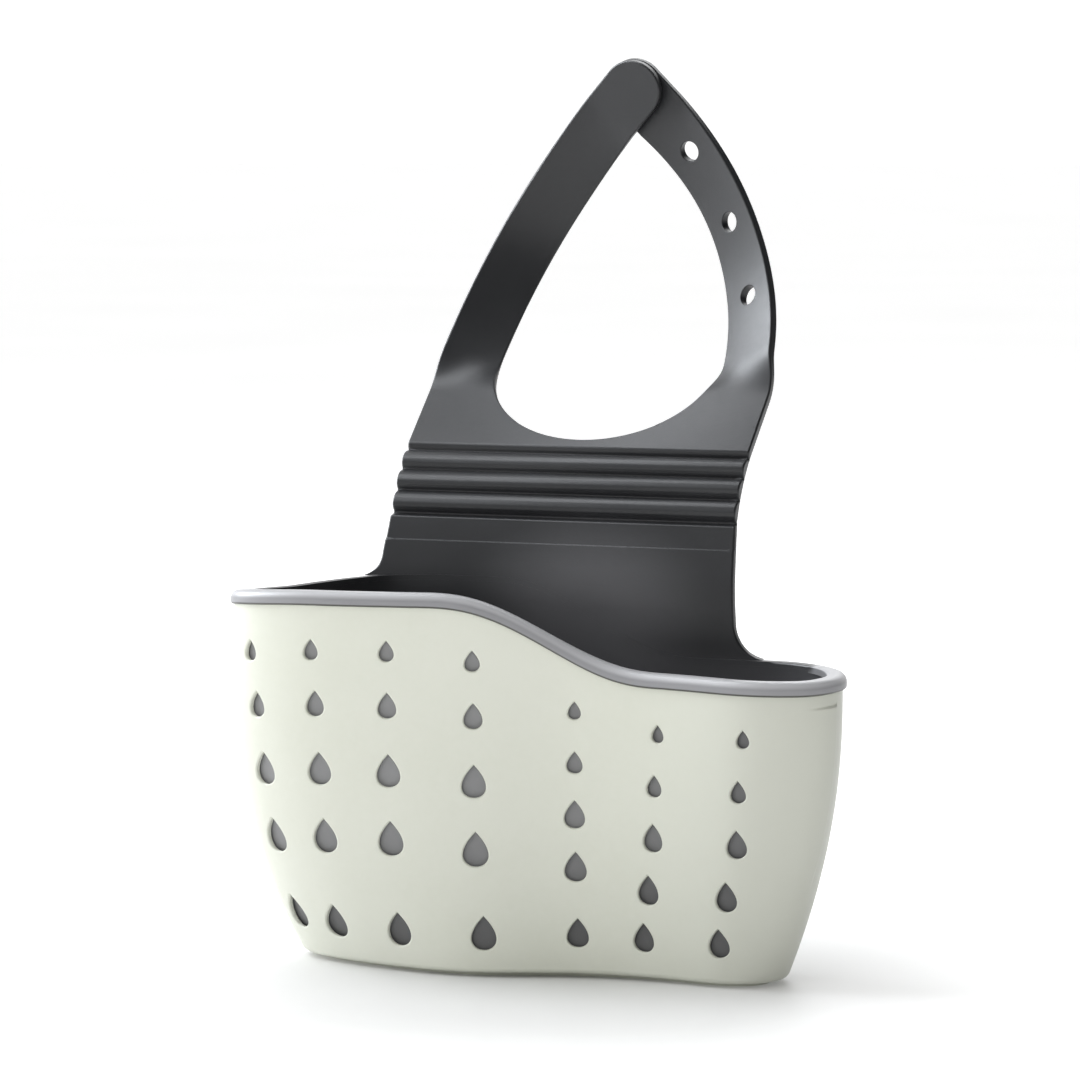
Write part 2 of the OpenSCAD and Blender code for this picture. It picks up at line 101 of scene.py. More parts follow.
class Skin:
    # gathers the parts of one piece, welds them and keeps their true normals
    def __init__(self):
        self.points = []
        self.normals = []
        self.faces = []
        self.slots = []
        self.count = 0

    def add(self, points, normals, faces, slot=0):
        self.points.append(points)
        self.normals.append(normals)
        self.faces.extend((np.asarray(faces) + self.count).tolist())
        self.slots.extend([slot] * len(faces))
        self.count += len(points)

    def rings(self, points, normals, flip=False, slot=0):
        # joins a stack of closed rings, each with the same number of points
        high, wide = points.shape[:2]
        index = np.arange(high * wide).reshape(high, wide)
        right = np.roll(index, -1, axis=1)
        quads = np.stack([index[:-1], index[1:], right[1:], right[:-1]], axis=-1).reshape(-1, 4)
        if flip:
            quads = quads[:, ::-1]
        self.add(points.reshape(-1, 3), normals.reshape(-1, 3), quads, slot)

    def build(self, name, materials):
        points = np.vstack(self.points)
        normals = unit(np.vstack(self.normals))
        keys = np.round(points * 1000 + 0.25).astype(np.int64)
        _, first, where = np.unique(keys, axis=0, return_index=True, return_inverse=True)
        where = where.ravel()
        faces = []
        corners = []
        slots = []
        seen = set()
        for face, slot in zip(self.faces, self.slots):
            kept = [i for i, j in zip(face, face[1:] + face[:1]) if where[i] != where[j]]
            ring = [int(where[i]) for i in kept]
            key = tuple(sorted(ring))
            if len(set(ring)) < 3 or len(set(ring)) < len(ring) or key in seen:
                continue
            seen.add(key)
            faces.append(ring)
            corners.extend(kept)
            slots.append(slot)
        mesh = bpy.data.meshes.new(name)
        mesh.from_pydata((points[first] * mm).tolist(), [], faces)
        for material in materials:
            mesh.materials.append(material)
        mesh.polygons.foreach_set("material_index", slots)
        mesh.polygons.foreach_set("use_smooth", [True] * len(faces))
        if mesh.validate():
            print("  mesh of", name, "was mended")
        else:
            mesh.normals_split_custom_set(normals[corners].tolist())
        piece = bpy.data.objects.new(name, mesh)
        bpy.context.scene.collection.objects.link(piece)
        print("  ", name, len(faces), "faces")
        return piece


def tangents(surface, q, step):
    # unit directions along both ways of a surface, its normal, and millimetres for each unit of its domain
    sideways = np.array([step[0], 0.0])
    upwards = np.array([0.0, step[1]])
    a = surface(q + sideways) - surface(q - sideways)
    b = surface(q + upwards) - surface(q - upwards)
    perA = np.linalg.norm(a, axis=1) / step[0] / 2
    perB = np.linalg.norm(b, axis=1) / step[1] / 2
    perUnit = np.stack([perA, perB], axis=1)
    return unit(a), unit(b), unit(across(a, b)), perUnit


def fillSheet(skin, loops, inner, surface, step, facing, clear, slot=0):
    # fills the outline loops[0] less the holes loops[1:], with the inner points where they have room
    _, _, _, perUnit = tangents(surface, loops[0], step)
    scale = perUnit.mean(axis=0)
    keep = insideLoop(inner, loops[0])
    for loop in loops:
        low = loop.min(axis=0) - clear / scale
        high = loop.max(axis=0) + clear / scale
        near = keep & np.all((inner > low) & (inner < high), axis=1)
        if not near.any():
            continue
        spots = inner[near]
        fine = np.full(len(spots), np.inf)
        for part in np.array_split(loop, max(1, len(loop) // 200)):
            gap = np.linalg.norm((spots[:, None] - part[None]) * scale, axis=2)
            fine = np.minimum(fine, gap.min(axis=1))
        good = fine > clear
        if loop is not loops[0]:
            good &= ~insideLoop(spots, loop)
        keep[np.where(near)[0][~good]] = False
    points = np.vstack([*loops, inner[keep]])
    edges = []
    start = 0
    for loop in loops:
        edges += [(start + i, start + (i + 1) % len(loop)) for i in range(len(loop))]
        start += len(loop)
    flat = delaunay_2d_cdt([tuple(p) for p in points * scale], edges, [], 0, 1e-6)
    source = [ids[0] for ids in flat[3]]
    triangles = np.array([[source[i] for i in f] for f in flat[2]])
    middles = points[triangles].mean(axis=1)
    good = insideLoop(middles, loops[0])
    for loop in loops[1:]:
        good &= ~insideLoop(middles, loop)
    triangles = triangles[good]
    _, _, normals, _ = tangents(surface, points, step)
    if facing < 0:
        triangles = triangles[:, ::-1]
    skin.add(surface(points), normals * facing, triangles, slot)


def roundEdge(skin, loop, seam, place, thick, step, radius, facing, turns=4):
    # rounds both rims of a slab's edge along a loop, and gives back the loop where its two faces begin
    front = lambda q: place(q, np.zeros(len(q)))
    back = lambda q: place(q, thick(q))
    u, v, normal, perUnit = tangents(front, loop, step)
    _, _, under, _ = tangents(back, loop, step)
    along = (np.roll(loop, -1, axis=0) - loop) * perUnit
    outward = unit(np.stack([along[:, 1], -along[:, 0]], axis=1)) * np.where(seam, 0.0, 1.0)[:, None]
    out = outward + np.roll(outward, 1, axis=0)
    bare = np.linalg.norm(out, axis=1) < 1e-6
    whole = unit(np.stack([along[:, 1], -along[:, 0]], axis=1))
    out[bare] = (whole + np.roll(whole, 1, axis=0))[bare]
    out = unit(out)
    r = np.where(bare, 0.0, np.minimum(radius, 0.42 * thick(loop)))
    side = unit(out[:, :1] * u + out[:, 1:] * v)
    cap = bare[:, None]
    points = []
    normals = []
    for k in range(turns + 1):
        a = math.pi / 2 * k / turns
        q = loop - out * (r * (1 - math.sin(a)))[:, None] / perUnit
        points.append(place(q, r * (1 - math.cos(a))))
        normals.append(np.where(cap, side, normal * facing * math.cos(a) + side * math.sin(a)))
    for k in range(turns, -1, -1):
        a = math.pi / 2 * k / turns
        q = loop - out * (r * (1 - math.sin(a)))[:, None] / perUnit
        points.append(place(q, thick(q) - r * (1 - math.cos(a))))
        normals.append(np.where(cap, side, -under * facing * math.cos(a) + side * math.sin(a)))
    skin.rings(np.array(points), np.array(normals), flip=facing < 0)
    return loop - out * r[:, None] / perUnit


def slab(skin, outline, seam, holes, inner, place, thick, step, radius, facing, clear, holeRadius=None):
    # a plate of even or varying thickness with rounded edges
    loops = [roundEdge(skin, outline, seam, place, thick, step, radius, facing)]
    for hole in holes:
        whole = np.zeros(len(hole), bool)
        loops.append(roundEdge(skin, hole, whole, place, thick, step, holeRadius or radius, facing))
    front = lambda q: place(q, np.zeros(len(q)))
    back = lambda q: place(q, thick(q))
    fillSheet(skin, loops, inner, front, step, facing, clear)
    fillSheet(skin, loops, inner, back, step, -facing, clear)


def sheetOutline(left, foot, right, top):
    # outline of a sheet: its sides are given upwards, its foot from the left and its top from the right
    # foot and top are seams, and the two sides are rounded
    outline = np.vstack([left[:1], foot, right, top, left[:0:-1]])
    seam = np.zeros(len(outline), bool)
    seam[: len(foot) + 1] = True
    topStart = len(foot) + len(right)
    seam[topStart: topStart + len(top) + 1] = True
    return outline, seam


def roundedSection(corners, radii, turns):
    # closed section with rounded corners, and its outward normals
    corners = np.array(corners, float)
    points = []
    normals = []
    for i, corner in enumerate(corners):
        before = unit(corners[i - 1] - corner)
        after = unit(corners[(i + 1) % len(corners)] - corner)
        first = np.array([-before[1], before[0]])
        last = np.array([after[1], -after[0]])
        half = math.acos(np.clip(-(before @ after), -1, 1)) / 2
        bend = np.sign(before[0] * after[1] - before[1] * after[0])
        r = radii[i]
        middle = corner + unit(before + after) * r / max(math.cos(half), 1e-6)
        for k in range(turns + 1):
            n = unit(mix(first, last, k / turns)) if k not in (0, turns) else (first if k == 0 else last)
            points.append(middle - bend * n * r if r > 0 else corner)
            normals.append(n)
    return np.array(points), np.array(normals)


print("stage 2: the wall's outline")

wall = {
    "width": 190.5,
    "depth": 64.0,
    "rimHigh": 117.0,
    "rimLow": 94.5,
    "waveX": 7.0,
    "waveWidth": 73.0,
    # the soft rim sags a little, most of all round its left end
    "dipPlaces": [0, 2.4, 3.0, 3.8, 4.6, 5.4, 6.6, 8.0, 10.0,
                  11.4, 12.6, 13.0, 13.8, 14.2, 14.6, 15.0, 15.4, 16.0],
    "dips": [0.4, 0.2, 0, 0.2, 0.8, 1.4, 1.2, 0.8, 0.7,
             0.7, 1.7, 2.2, 3.4, 3.5, 2.8, 1.9, 1.1, 0.4],
    "taperHeight": 86.0,
    "taperCurve": 2.1,
    "rimShares": [[-0.258, 0.462], [0, 0.462], [0.259, 0.462], [0.39, 0.42], [0.511, 0.132],
                  [0.496, -0.197], [0.397, -0.331], [0.334, -0.331], [0.215, -0.243], [0.068, -0.243],
                  [-0.079, -0.423], [-0.285, -0.542], [-0.391, -0.544], [-0.51, -0.426], [-0.5, -0.052],
                  [-0.393, 0.437]],
    "footShares": [[-0.244, 0.392], [0, 0.392], [0.24, 0.392], [0.36, 0.34], [0.417, 0.074],
                   [0.38, -0.146], [0.318, -0.199], [0.281, -0.19], [0.215, -0.157], [0.068, -0.157],
                   [-0.079, -0.399], [-0.235, -0.307], [-0.28, -0.273], [-0.414, -0.141], [-0.44, 0.141],
                   [-0.36, 0.376]],
}


def splineAt(guides, s):
    # closed cubic spline guided by the points, at place s counted in points
    count = len(guides)
    s = np.mod(s, count)
    i = np.floor(s).astype(int)
    f = (s - i)[..., None]
    a = guides[(i - 1) % count]
    b = guides[i % count]
    c = guides[(i + 1) % count]
    d = guides[(i + 2) % count]
    nearB = 3 * f ** 3 - 6 * f * f + 4
    nearC = 3 * f + 3 * f * f - 3 * f ** 3 + 1
    return ((1 - f) ** 3 * a + nearB * b + nearC * c + f ** 3 * d) / 6


places = 16
rawRim = splineAt(np.array(wall["rimShares"]), np.arange(0, places, 0.2))
outlineScale = np.array([wall["width"], wall["depth"]]) / np.ptp(rawRim, axis=0)
rimGuides = np.array(wall["rimShares"]) * outlineScale
footGuides = np.array(wall["footShares"]) * outlineScale


def rimHeight(x):
    wave = smooth((wall["waveX"] + wall["waveWidth"] / 2 - x) / wall["waveWidth"])
    return mix(wall["rimLow"], wall["rimHigh"], wave)


def rimSag(s):
    return curveThrough(wall["dipPlaces"], wall["dips"], np.mod(s, places))


def rimTop(s):
    return rimHeight(splineAt(rimGuides, s)[..., 0]) - rimSag(s)


def backSag(x):
    # how far the rim behind sags at a place across
    s = np.linspace(14.0, 19.0, 201)
    return np.interp(x, splineAt(rimGuides, s)[:, 0], rimSag(s))


def wallPlan(s, z):
    drawn = np.maximum(1 - np.maximum(z, 0) / wall["taperHeight"], 0) ** wall["taperCurve"]
    return mix(splineAt(rimGuides, s), splineAt(footGuides, s), drawn[..., None])


def inwardAt(s, z):
    t = unit(wallPlan(s + 0.1, z) - wallPlan(s - 0.1, z))
    return np.stack([t[..., 1], -t[..., 0]], axis=-1)


def wallPoint(s, z, inset):
    s, z, inset = np.broadcast_arrays(s, z, inset)
    plan = wallPlan(s, z) + inset[..., None] * inwardAt(s, z)
    return np.concatenate([plan, z[..., None]], axis=-1)


def bandPoints(s, v, inset, low, drop):
    # rows of points round the wall: v is 0 at a level and 1 under the rim
    z = mix(low, rimTop(s) - drop, v)
    return wallPoint(s, z, inset)


print("stage 3: shader graph helper")


class Wire:
    # a node's socket that can be used in sums
    def __init__(self, tree, socket=None):
        self.tree = tree
        self.socket = socket

    def node(self, kind, settings=None, inputs=None, output=0):
        made = self.tree.nodes.new(kind)
        for key, value in (settings or {}).items():
            if key == "stops":
                while len(made.color_ramp.elements) < len(value):
                    made.color_ramp.elements.new(1.0)
                for element, (position, colour) in zip(made.color_ramp.elements, value):
                    element.position = position
                    element.color = colour
            else:
                setattr(made, key, value)
        for key, value in (inputs or {}).items():
            if isinstance(value, Wire):
                self.tree.links.new(value.socket, made.inputs[key])
            else:
                made.inputs[key].default_value = value
        return Wire(self.tree, made.outputs[output] if made.outputs else None)

    def sum(self, operation, first, second):
        return self.node("ShaderNodeMath", {"operation": operation}, {0: first, 1: second})

    def __add__(self, other):
        return self.sum("ADD", self, other)

    def __radd__(self, other):
        return self.sum("ADD", other, self)

    def __sub__(self, other):
        return self.sum("SUBTRACT", self, other)

    def __rsub__(self, other):
        return self.sum("SUBTRACT", other, self)

    def __mul__(self, other):
        return self.sum("MULTIPLY", self, other)

    def __rmul__(self, other):
        return self.sum("MULTIPLY", other, self)

    def clamp(self, low, high):
        return self.sum("MAXIMUM", self.sum("MINIMUM", self, high), low)

    def ramp(self, low, high):
        # 0 below low, 1 above high
        settings = {"interpolation_type": "SMOOTHSTEP"}
        return self.node("ShaderNodeMapRange", settings, {0: self, 1: low, 2: high})

    def colour(self, first, second):
        # this value mixes two colours
        return self.node("ShaderNodeMix", {"data_type": "RGBA"}, {0: self, 6: first, 7: second}, output=2)


def noise(spot, scale, detail, rough):
    inputs = {"Vector": spot, "Scale": scale, "Detail": detail, "Roughness": rough}
    return spot.node("ShaderNodeTexNoise", {}, inputs)


def axis(spot, which):
    # x, y or z of a place or a direction
    return spot.node("ShaderNodeSeparateXYZ", {}, {0: spot}, output=which)


def facing(spot):
    # the way the surface faces
    return spot.node("ShaderNodeTexCoord", output=1)


def newMaterial(name):
    material = bpy.data.materials.new(name)
    material.use_nodes = True
    tree = material.node_tree
    tree.nodes.clear()
    root = Wire(tree)
    spot = root.node("ShaderNodeTexCoord", output=3)
    return material, root, spot


def finishMaterial(root, colour, rough, height, bumpDepth, settings):
    # a bump in metres, a principled shader and the output
    bump = root.node("ShaderNodeBump", {}, {"Strength": 1.0, "Distance": bumpDepth, "Height": height})
    inputs = {"Base Color": colour, "Roughness": rough, "Normal": bump, **settings}
    shader = root.node("ShaderNodeBsdfPrincipled", {}, inputs)
    root.node("ShaderNodeOutputMaterial", {}, {"Surface": shader})


shellPaint = {
    "light": (0.75, 0.762, 0.675, 1),
    "deep": (0.715, 0.73, 0.635, 1),
    "rough": 0.36,
    "uneven": 0.1,
    "broadScale": 14.0,
    "fineScale": 420.0,
    "grainScale": 2600.0,
    "bump": 0.00004,
    "settings": {"Specular IOR Level": 0.4},
    "far": (0.6, 0.61, 0.54, 1),  # painted shade: darker towards its low end, where less light falls on it
}


def shellPlastic():
    material, root, spot = newMaterial("pale green satin plastic")
    broad = noise(spot, shellPaint["broadScale"], 3.0, 0.55)
    fine = noise(spot, shellPaint["fineScale"], 2.0, 0.6)
    grain = noise(spot, shellPaint["grainScale"], 2.0, 0.6)
    colour = (broad * 0.8 + fine * 0.2).ramp(0.3, 0.7).colour(shellPaint["light"], shellPaint["deep"])
    # painted shade: the shell's colour darkens towards its low end
    colour = axis(spot, 0).ramp(0.015, 0.09).colour(colour, shellPaint["far"])
    rough = shellPaint["rough"] + (broad - 0.5) * shellPaint["uneven"] + (fine - 0.5) * shellPaint["uneven"]
    height = grain * 0.5 + fine * 0.5
    finishMaterial(root, colour, rough, height, shellPaint["bump"], shellPaint["settings"])
    return material


def softRubber(name, paint):
    # silicone with a matte moulded grain, a slow change of tone, a little dust, and painted light and shade
    material, root, spot = newMaterial(name)
    broad = noise(spot, paint["broadScale"], 3.0, 0.5)
    fine = noise(spot, paint["fineScale"], 3.0, 0.6)
    grain = noise(spot, paint["grainScale"], 2.0, 0.6)
    dust = noise(spot, paint["dustScale"], 2.0, 0.7).ramp(0.66, 0.76)
    tone = broad.ramp(0.3, 0.7).colour(paint["deep"], paint["light"])
    # painted light and shade: paler on faces turned up, darker on faces turned down
    if "top" in paint:
        up = axis(facing(root), 2)
        tone = up.ramp(0.1, 0.6).colour(tone, paint["top"])
        tone = (0 - up).ramp(0.05, 0.6).colour(tone, paint["under"])
    # each paint's mask: painted light on the dark silicone, painted shade on the liner, and the bead's
    # darkening into the lip
    tone = paint["paintedLightAndFade"](spot).colour(tone, paint["paintedLightAndFadeColour"])
    colour = (dust * paint["dust"]).colour(tone, paint["dustColour"])
    rough = paint["rough"] + (broad - 0.5) * 0.12 + (fine - 0.5) * 0.14
    height = grain * 0.6 + fine * 0.4
    if "twist" in paint:
        # the strap's foot faces a little down at the right and up at the left
        turned = axis(spot, 0).ramp(-0.06, 0.05) * 2 - 1
        height = height + axis(spot, 2).ramp(0.13, 0.185) * turned * paint["twist"]
    finishMaterial(root, colour, rough, height, paint["bump"], paint["settings"])
    return material


def awayFrom(spot, place, reach):
    # distance from a place, in the reach given along each axis
    gap = spot.node("ShaderNodeVectorMath", {"operation": "SUBTRACT"}, {0: spot, 1: place})
    gap = gap.node("ShaderNodeVectorMath", {"operation": "DIVIDE"}, {0: gap, 1: reach})
    return gap.node("ShaderNodeVectorMath", {"operation": "LENGTH"}, {0: gap}, output=1)


silicone = {
    "broadScale": 22.0,
    "fineScale": 620.0,
    "grainScale": 3200.0,
    "dustScale": 1500.0,
    "dust": 0.06,
    "dustColour": (0.6, 0.6, 0.6, 1),
    "rough": 0.42,
    "bump": 0.00004,
    "settings": {"Specular IOR Level": 0.5, "Sheen Weight": 0.02, "Sheen Roughness": 0.4},
}


def paintedLight(spot):
    # painted light: the dark silicone is paler inside the basket, and on faces turned to the front round the
    # middle of the plate's foot
    front = (0 - axis(facing(spot), 1)).ramp(0.0, 0.3)
    middle = awayFrom(spot, (0.004, 0.03, 0.108), (0.045, 1.0, 0.034)).ramp(0.2, 1.0)
    return front * (1 - middle) + (0.1 - axis(spot, 2)).ramp(0.0, 0.012) * 0.6


def shaded(spot):
    # painted shade: the silicone behind the windows is darker at the low end and near the floor
    return (axis(spot, 0).ramp(-0.01, 0.09) * 0.8 + (0.055 - axis(spot, 2)).ramp(0.0, 0.05)).clamp(0.0, 1.0)


darkPaint = {
    **silicone,
    "light": (0.02, 0.0205, 0.0225, 1),
    "deep": (0.0155, 0.016, 0.018, 1),
    "dust": 0.04,
    "dustColour": (0.12, 0.12, 0.125, 1),
    # painted light: the paler tone laid on by the mask below
    "paintedLightAndFade": paintedLight,
    "paintedLightAndFadeColour": (0.09, 0.09, 0.096, 1),
    "twist": 190,
}

linerPaint = {
    **silicone,
    "light": (0.29, 0.29, 0.297, 1),
    "deep": (0.26, 0.26, 0.267, 1),
    # painted shade: darker at the low end and near the floor
    "paintedLightAndFade": shaded,
    "paintedLightAndFadeColour": (0.105, 0.105, 0.108, 1),
}

shellMaterial = shellPlastic()
linerMaterial = softRubber("grey silicone behind the windows", linerPaint)
darkMaterial = softRubber("dark grey silicone", darkPaint)

print("stage 4: shell")

shell = {
    "outside": 1.2,  # inset of its outer face behind the rim's outline
    "inside": 3.0,
    "floor": 2.0,
    "footRound": 3.0,
    "footLift": 1.3,  # its lower edge stands clear of the table on a step set in under it
    "footStep": 3.0,
    "topDrop": 1.7,
    "innerCorner": 1.5,
    "columns": 256,
    "rows": 34,
    "insideRows": 20,
    "clear": 0.5,  # inner points keep this far from windows and edges, and in the floors this far from holes
    "floorClear": 1.6,
    "floorPitch": 4.0,
    "drainRadius": 3.0,
    "drainPitch": 20.0,
    "drainRow": 1.5,
    "drainRowGap": 12.0,
    "drainRound": 0.4,
    # places round the outline and heights of the windows, by column and by row from the foot up
    "windowPlaces": [[0.792, 0.7765, 0.77, 0.772, 0.78], [0.744, 0.7185, 0.712, 0.712, 0.7155],
                     [0.6727, 0.6668, 0.6645, 0.664, 0.6643], [0.6153, 0.618, 0.618, 0.618, 0.6185],
                     [0.5563, 0.5565, 0.5565, 0.5562, 0.5562], [0.5081, 0.5038, 0.4997, 0.4987, 0.4959],
                     [0.4064, 0.4076, 0.4016, 0.4061, 0.4026]],
    "windowRises": [[0.136, 0.346, 0.524, 0.691, 0.83], [0.124, 0.356, 0.534, 0.703, 0.842],
                    [0.116, 0.357, 0.534, 0.703, 0.843], [0.118, 0.34, 0.519, 0.69, 0.833],
                    [0.139, 0.34, 0.498, 0.654, 0.809], [0.144, 0.3, 0.469, 0.635, 0.802],
                    [0.147, 0.299, 0.47, 0.637, 0.804]],
    "tallColumns": 4,
    "rowSizes": [0.98, 1, 0.94, 0.73, 0.59],
    "tallDrop": 10.6,
    "lowDrop": 9.0,
    "dropWidth": 0.74,
    "dropFullest": 0.77,  # half-width of the drop's curve at its widest
    "dropPoints": 44,
    "windowRound": 0.62,
    "padRise": 0.55,  # raised pad at the low end, with a short step at its top and a sharp edge behind
    "padEdge": 4.56,
    "padTop": 7.8,
    "padStep": 1.1,
    "padHeight": 42.0,
    "padFade": 16.0,
    "padSharp": 0.045,  # along the wall: its sharp edge, its full length and its long fade
    "padFull": 0.1,
    "padTail": 0.75,
}


def roundHole(x, y, r, count=36):
    a = -2 * math.pi * np.arange(count) / count
    return np.stack([x + r * np.cos(a), y + r * np.sin(a)], axis=1)


def drainLoops():
    loops = []
    for j in range(2):
        for i in range(-3, 3):
            x = (i + (1 - j) / 2) * shell["drainPitch"]
            loops.append(roundHole(x, shell["drainRow"] + j * shell["drainRowGap"], shell["drainRadius"]))
    return loops


def padHeight(s, z):
    # how proud the pad stands at a place of the wall
    below = rimTop(s) - shell["padTop"] - z
    past = s - shell["padEdge"]
    up = smooth(below / shell["padStep"]) * (1 - smooth((below - shell["padHeight"]) / shell["padFade"]))
    along = smooth(past / shell["padSharp"]) * (1 - smooth((past - shell["padFull"]) / shell["padTail"]))
    return shell["padRise"] * up * along


def shellPlace(q, depth):
    s = q[:, 0]
    z = q[:, 1]
    proud = padHeight(s, z) * (1 - depth / (shell["inside"] - shell["outside"]))
    return wallPoint(s, z, shell["outside"] + depth - proud)


def dropWindows():
    loops = []
    front = lambda q: shellPlace(q, np.zeros(len(q)))
    for col, (shares, rises) in enumerate(zip(shell["windowPlaces"], shell["windowRises"])):
        tallest = shell["tallDrop"] if col < shell["tallColumns"] else shell["lowDrop"]
        for share, rise, size in zip(shares, rises, shell["rowSizes"]):
            s = places * share
            z = float(rimHeight(splineAt(rimGuides, np.array(s))[0])) * rise
            high = tallest * size
            wide = high * shell["dropWidth"] / 2 / shell["dropFullest"]
            a = 2 * math.pi * np.arange(shell["dropPoints"]) / shell["dropPoints"]
            sideways, upwards, _, perUnit = tangents(front, np.array([[s, z]]), (0.01, 0.05))
            # a window stands upright on the wall, so its axis leans away from the line of equal place
            lean = -(sideways[0] @ upwards[0]) * perUnit[0, 1] / perUnit[0, 0]
            up = high / 2 * np.cos(a)
            x = s - wide * np.sin(a) * np.sin(a / 2) / perUnit[0, 0] + lean * up
            loops.append(np.stack([x, z + up], axis=1)[::-1])
    return loops


def wallGrid(low, drop, columns, rows):
    # the closed outline of the unrolled wall, and its inner points
    s = np.linspace(0, places, columns + 1)
    v = np.linspace(0, 1, rows + 1)
    top = rimTop(s) - drop
    bottomEdge = np.stack([s[:-1], np.full(columns, low)], axis=1)
    rightEdge = np.stack([np.full(rows, places), mix(low, top[-1], v[:-1])], axis=1)
    topEdge = np.stack([s[:0:-1], top[:0:-1]], axis=1)
    leftEdge = np.stack([np.zeros(rows), mix(low, top[0], v[:0:-1])], axis=1)
    outline = np.vstack([bottomEdge, rightEdge, topEdge, leftEdge])
    gridS, gridV = np.meshgrid(s[1:-1], v[1:-1])
    inner = np.stack([gridS.ravel(), mix(low, rimTop(gridS.ravel()) - drop, gridV.ravel())], axis=1)
    return s, outline, inner


def footRings(skin, s, low, inset, r, floorInset, flip, slot=0):
    # rolls the wall's lower edge under, from the upright wall to the floor
    angles = np.radians(np.linspace(90, 0, 9))

    def edgePlace(q):
        a = q[:, 1]
        return wallPoint(q[:, 0], low + r * (1 - np.cos(a)), inset + floorInset * (1 - np.sin(a)))

    points = []
    normals = []
    for a in angles:
        q = np.stack([s[:-1], np.full(len(s) - 1, a)], axis=1)
        points.append(edgePlace(q))
        near = np.stack([s[:-1], np.full(len(s) - 1, max(a, 0.02))], axis=1)
        _, _, normal, _ = tangents(edgePlace, near, (0.01, 0.01))
        normals.append(-normal if not flip else normal)
    skin.rings(np.array(points), np.array(normals), flip=not flip, slot=slot)
    return points[-1]


def floorSheet(skin, ring, z, upward, holes, slot=0):
    # flat floor inside a ring of the wall, less the drain holes
    loop = ring[::-1, :2]
    pitch = shell["floorPitch"]
    gridX, gridY = np.meshgrid(np.arange(-96, 97, pitch), np.arange(-40, 41, pitch))
    inner = np.stack([gridX.ravel(), gridY.ravel()], axis=1)
    surface = lambda q: np.stack([q[:, 0], q[:, 1], np.full(len(q), z)], axis=1)
    fillSheet(skin, [loop, *holes], inner, surface, nearby, 1 if upward else -1, shell["floorClear"], slot)


def drainEdges(skin, low, high):
    # rounded edges of the drain holes through one floor
    r = shell["drainRound"]
    place = lambda q, depth: np.stack([q[:, 0], q[:, 1], high - depth], axis=1)
    thick = lambda q: np.full(len(q), high - low)
    loops = []
    for hole in drainLoops():
        whole = np.zeros(len(hole), bool)
        loops.append(roundEdge(skin, hole, whole, place, thick, nearby, r, 1, 3))
    return loops


def makeShell():
    skin = Skin()
    step = (0.004, 0.05)
    thickness = shell["inside"] - shell["outside"]
    thick = lambda q: np.full(len(q), thickness)
    windowLoops = [
        roundEdge(skin, loop, np.zeros(len(loop), bool), shellPlace, thick, step, shell["windowRound"], -1)
        for loop in dropWindows()
    ]
    s, outline, inner = wallGrid(shell["footRound"], shell["topDrop"], shell["columns"], shell["rows"])
    # more points where the pad's edge and the step at its top turn
    padS = shell["padEdge"] + np.array([-0.03, -0.01, 0.0, 0.01, 0.02, 0.03, 0.04, 0.055])
    extraS, extraZ = np.meshgrid(padS, np.linspace(30, 84, 40))
    stepS, stepDown = np.meshgrid(np.linspace(4.6, 5.35, 26), shell["padTop"] + np.linspace(-0.2, 1.3, 7))
    topZ = rimTop(stepS.ravel()) - stepDown.ravel()
    clearOfPad = (np.abs(inner[:, 0] - shell["padEdge"] - 0.01) > 0.06) | (inner[:, 1] > 86)
    inner = np.vstack([
        inner[clearOfPad],
        np.stack([extraS.ravel(), extraZ.ravel()], axis=1),
        np.stack([stepS.ravel(), topZ], axis=1),
    ])
    outer = lambda q: shellPlace(q, np.zeros(len(q)))
    innerFace = lambda q: shellPlace(q, np.full(len(q), thickness))
    fillSheet(skin, [outline, *windowLoops], inner, outer, step, -1, shell["clear"])
    low = shell["floor"] + shell["innerCorner"]
    lift = shell["footLift"]
    r = shell["footRound"] - lift
    foot = footRings(skin, s, lift, shell["outside"], r, r, False)
    stepIn = wallPoint(s[:-1], lift, shell["outside"] + r + shell["footStep"])
    stepLow = wallPoint(s[:-1], 0.0, shell["outside"] + r + shell["footStep"])
    down = np.tile([0.0, 0.0, -1.0], (2, len(s) - 1, 1))
    outward = np.concatenate([-inwardAt(s[:-1], np.zeros(len(s) - 1)), np.zeros((len(s) - 1, 1))], axis=1)
    skin.rings(np.array([foot, stepIn]), down, flip=True)
    skin.rings(np.array([stepIn, stepLow]), np.array([outward, outward]), flip=True)
    holes = drainEdges(skin, 0.0, shell["floor"])
    floorSheet(skin, stepLow, 0.0, False, holes)
    # the inside of the shell starts a little higher, at its inner corner
    _, insideOutline, insideInner = wallGrid(low, shell["topDrop"], shell["columns"], shell["insideRows"])
    fillSheet(skin, [insideOutline, *windowLoops], insideInner, innerFace, step, 1, shell["clear"])
    r = shell["innerCorner"]
    corner = footRings(skin, s, shell["floor"], shell["inside"], r, r, True)
    floorSheet(skin, corner, shell["floor"], True, holes)
    top = rimTop(s[:-1]) - shell["topDrop"]
    rim = np.array([wallPoint(s[:-1], top, shell["inside"]), wallPoint(s[:-1], top, shell["outside"])])
    skin.rings(rim, np.tile([0.0, 0.0, 1.0], (2, len(s) - 1, 1)), flip=True)
    piece = skin.build("shell", [shellMaterial])
    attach(piece, "basket")
    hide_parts("outer_shell")


makeShell()

print("stage 5: liner")

liner = {
    "outside": 3.3,
    "inside": 4.9,
    "low": 2.3,
    "floor": 3.9,
    "footRound": 3.0,
    "innerCorner": 1.5,
    "topDrop": 1.61,
    "columns": 320,
    "rows": 30,
    "bendZ": 108.0,
    "bendRadius": 50.0,
    "bendStart": 15.2,
    "bendEnd": 2.9,
    "bendFade": 0.4,
}


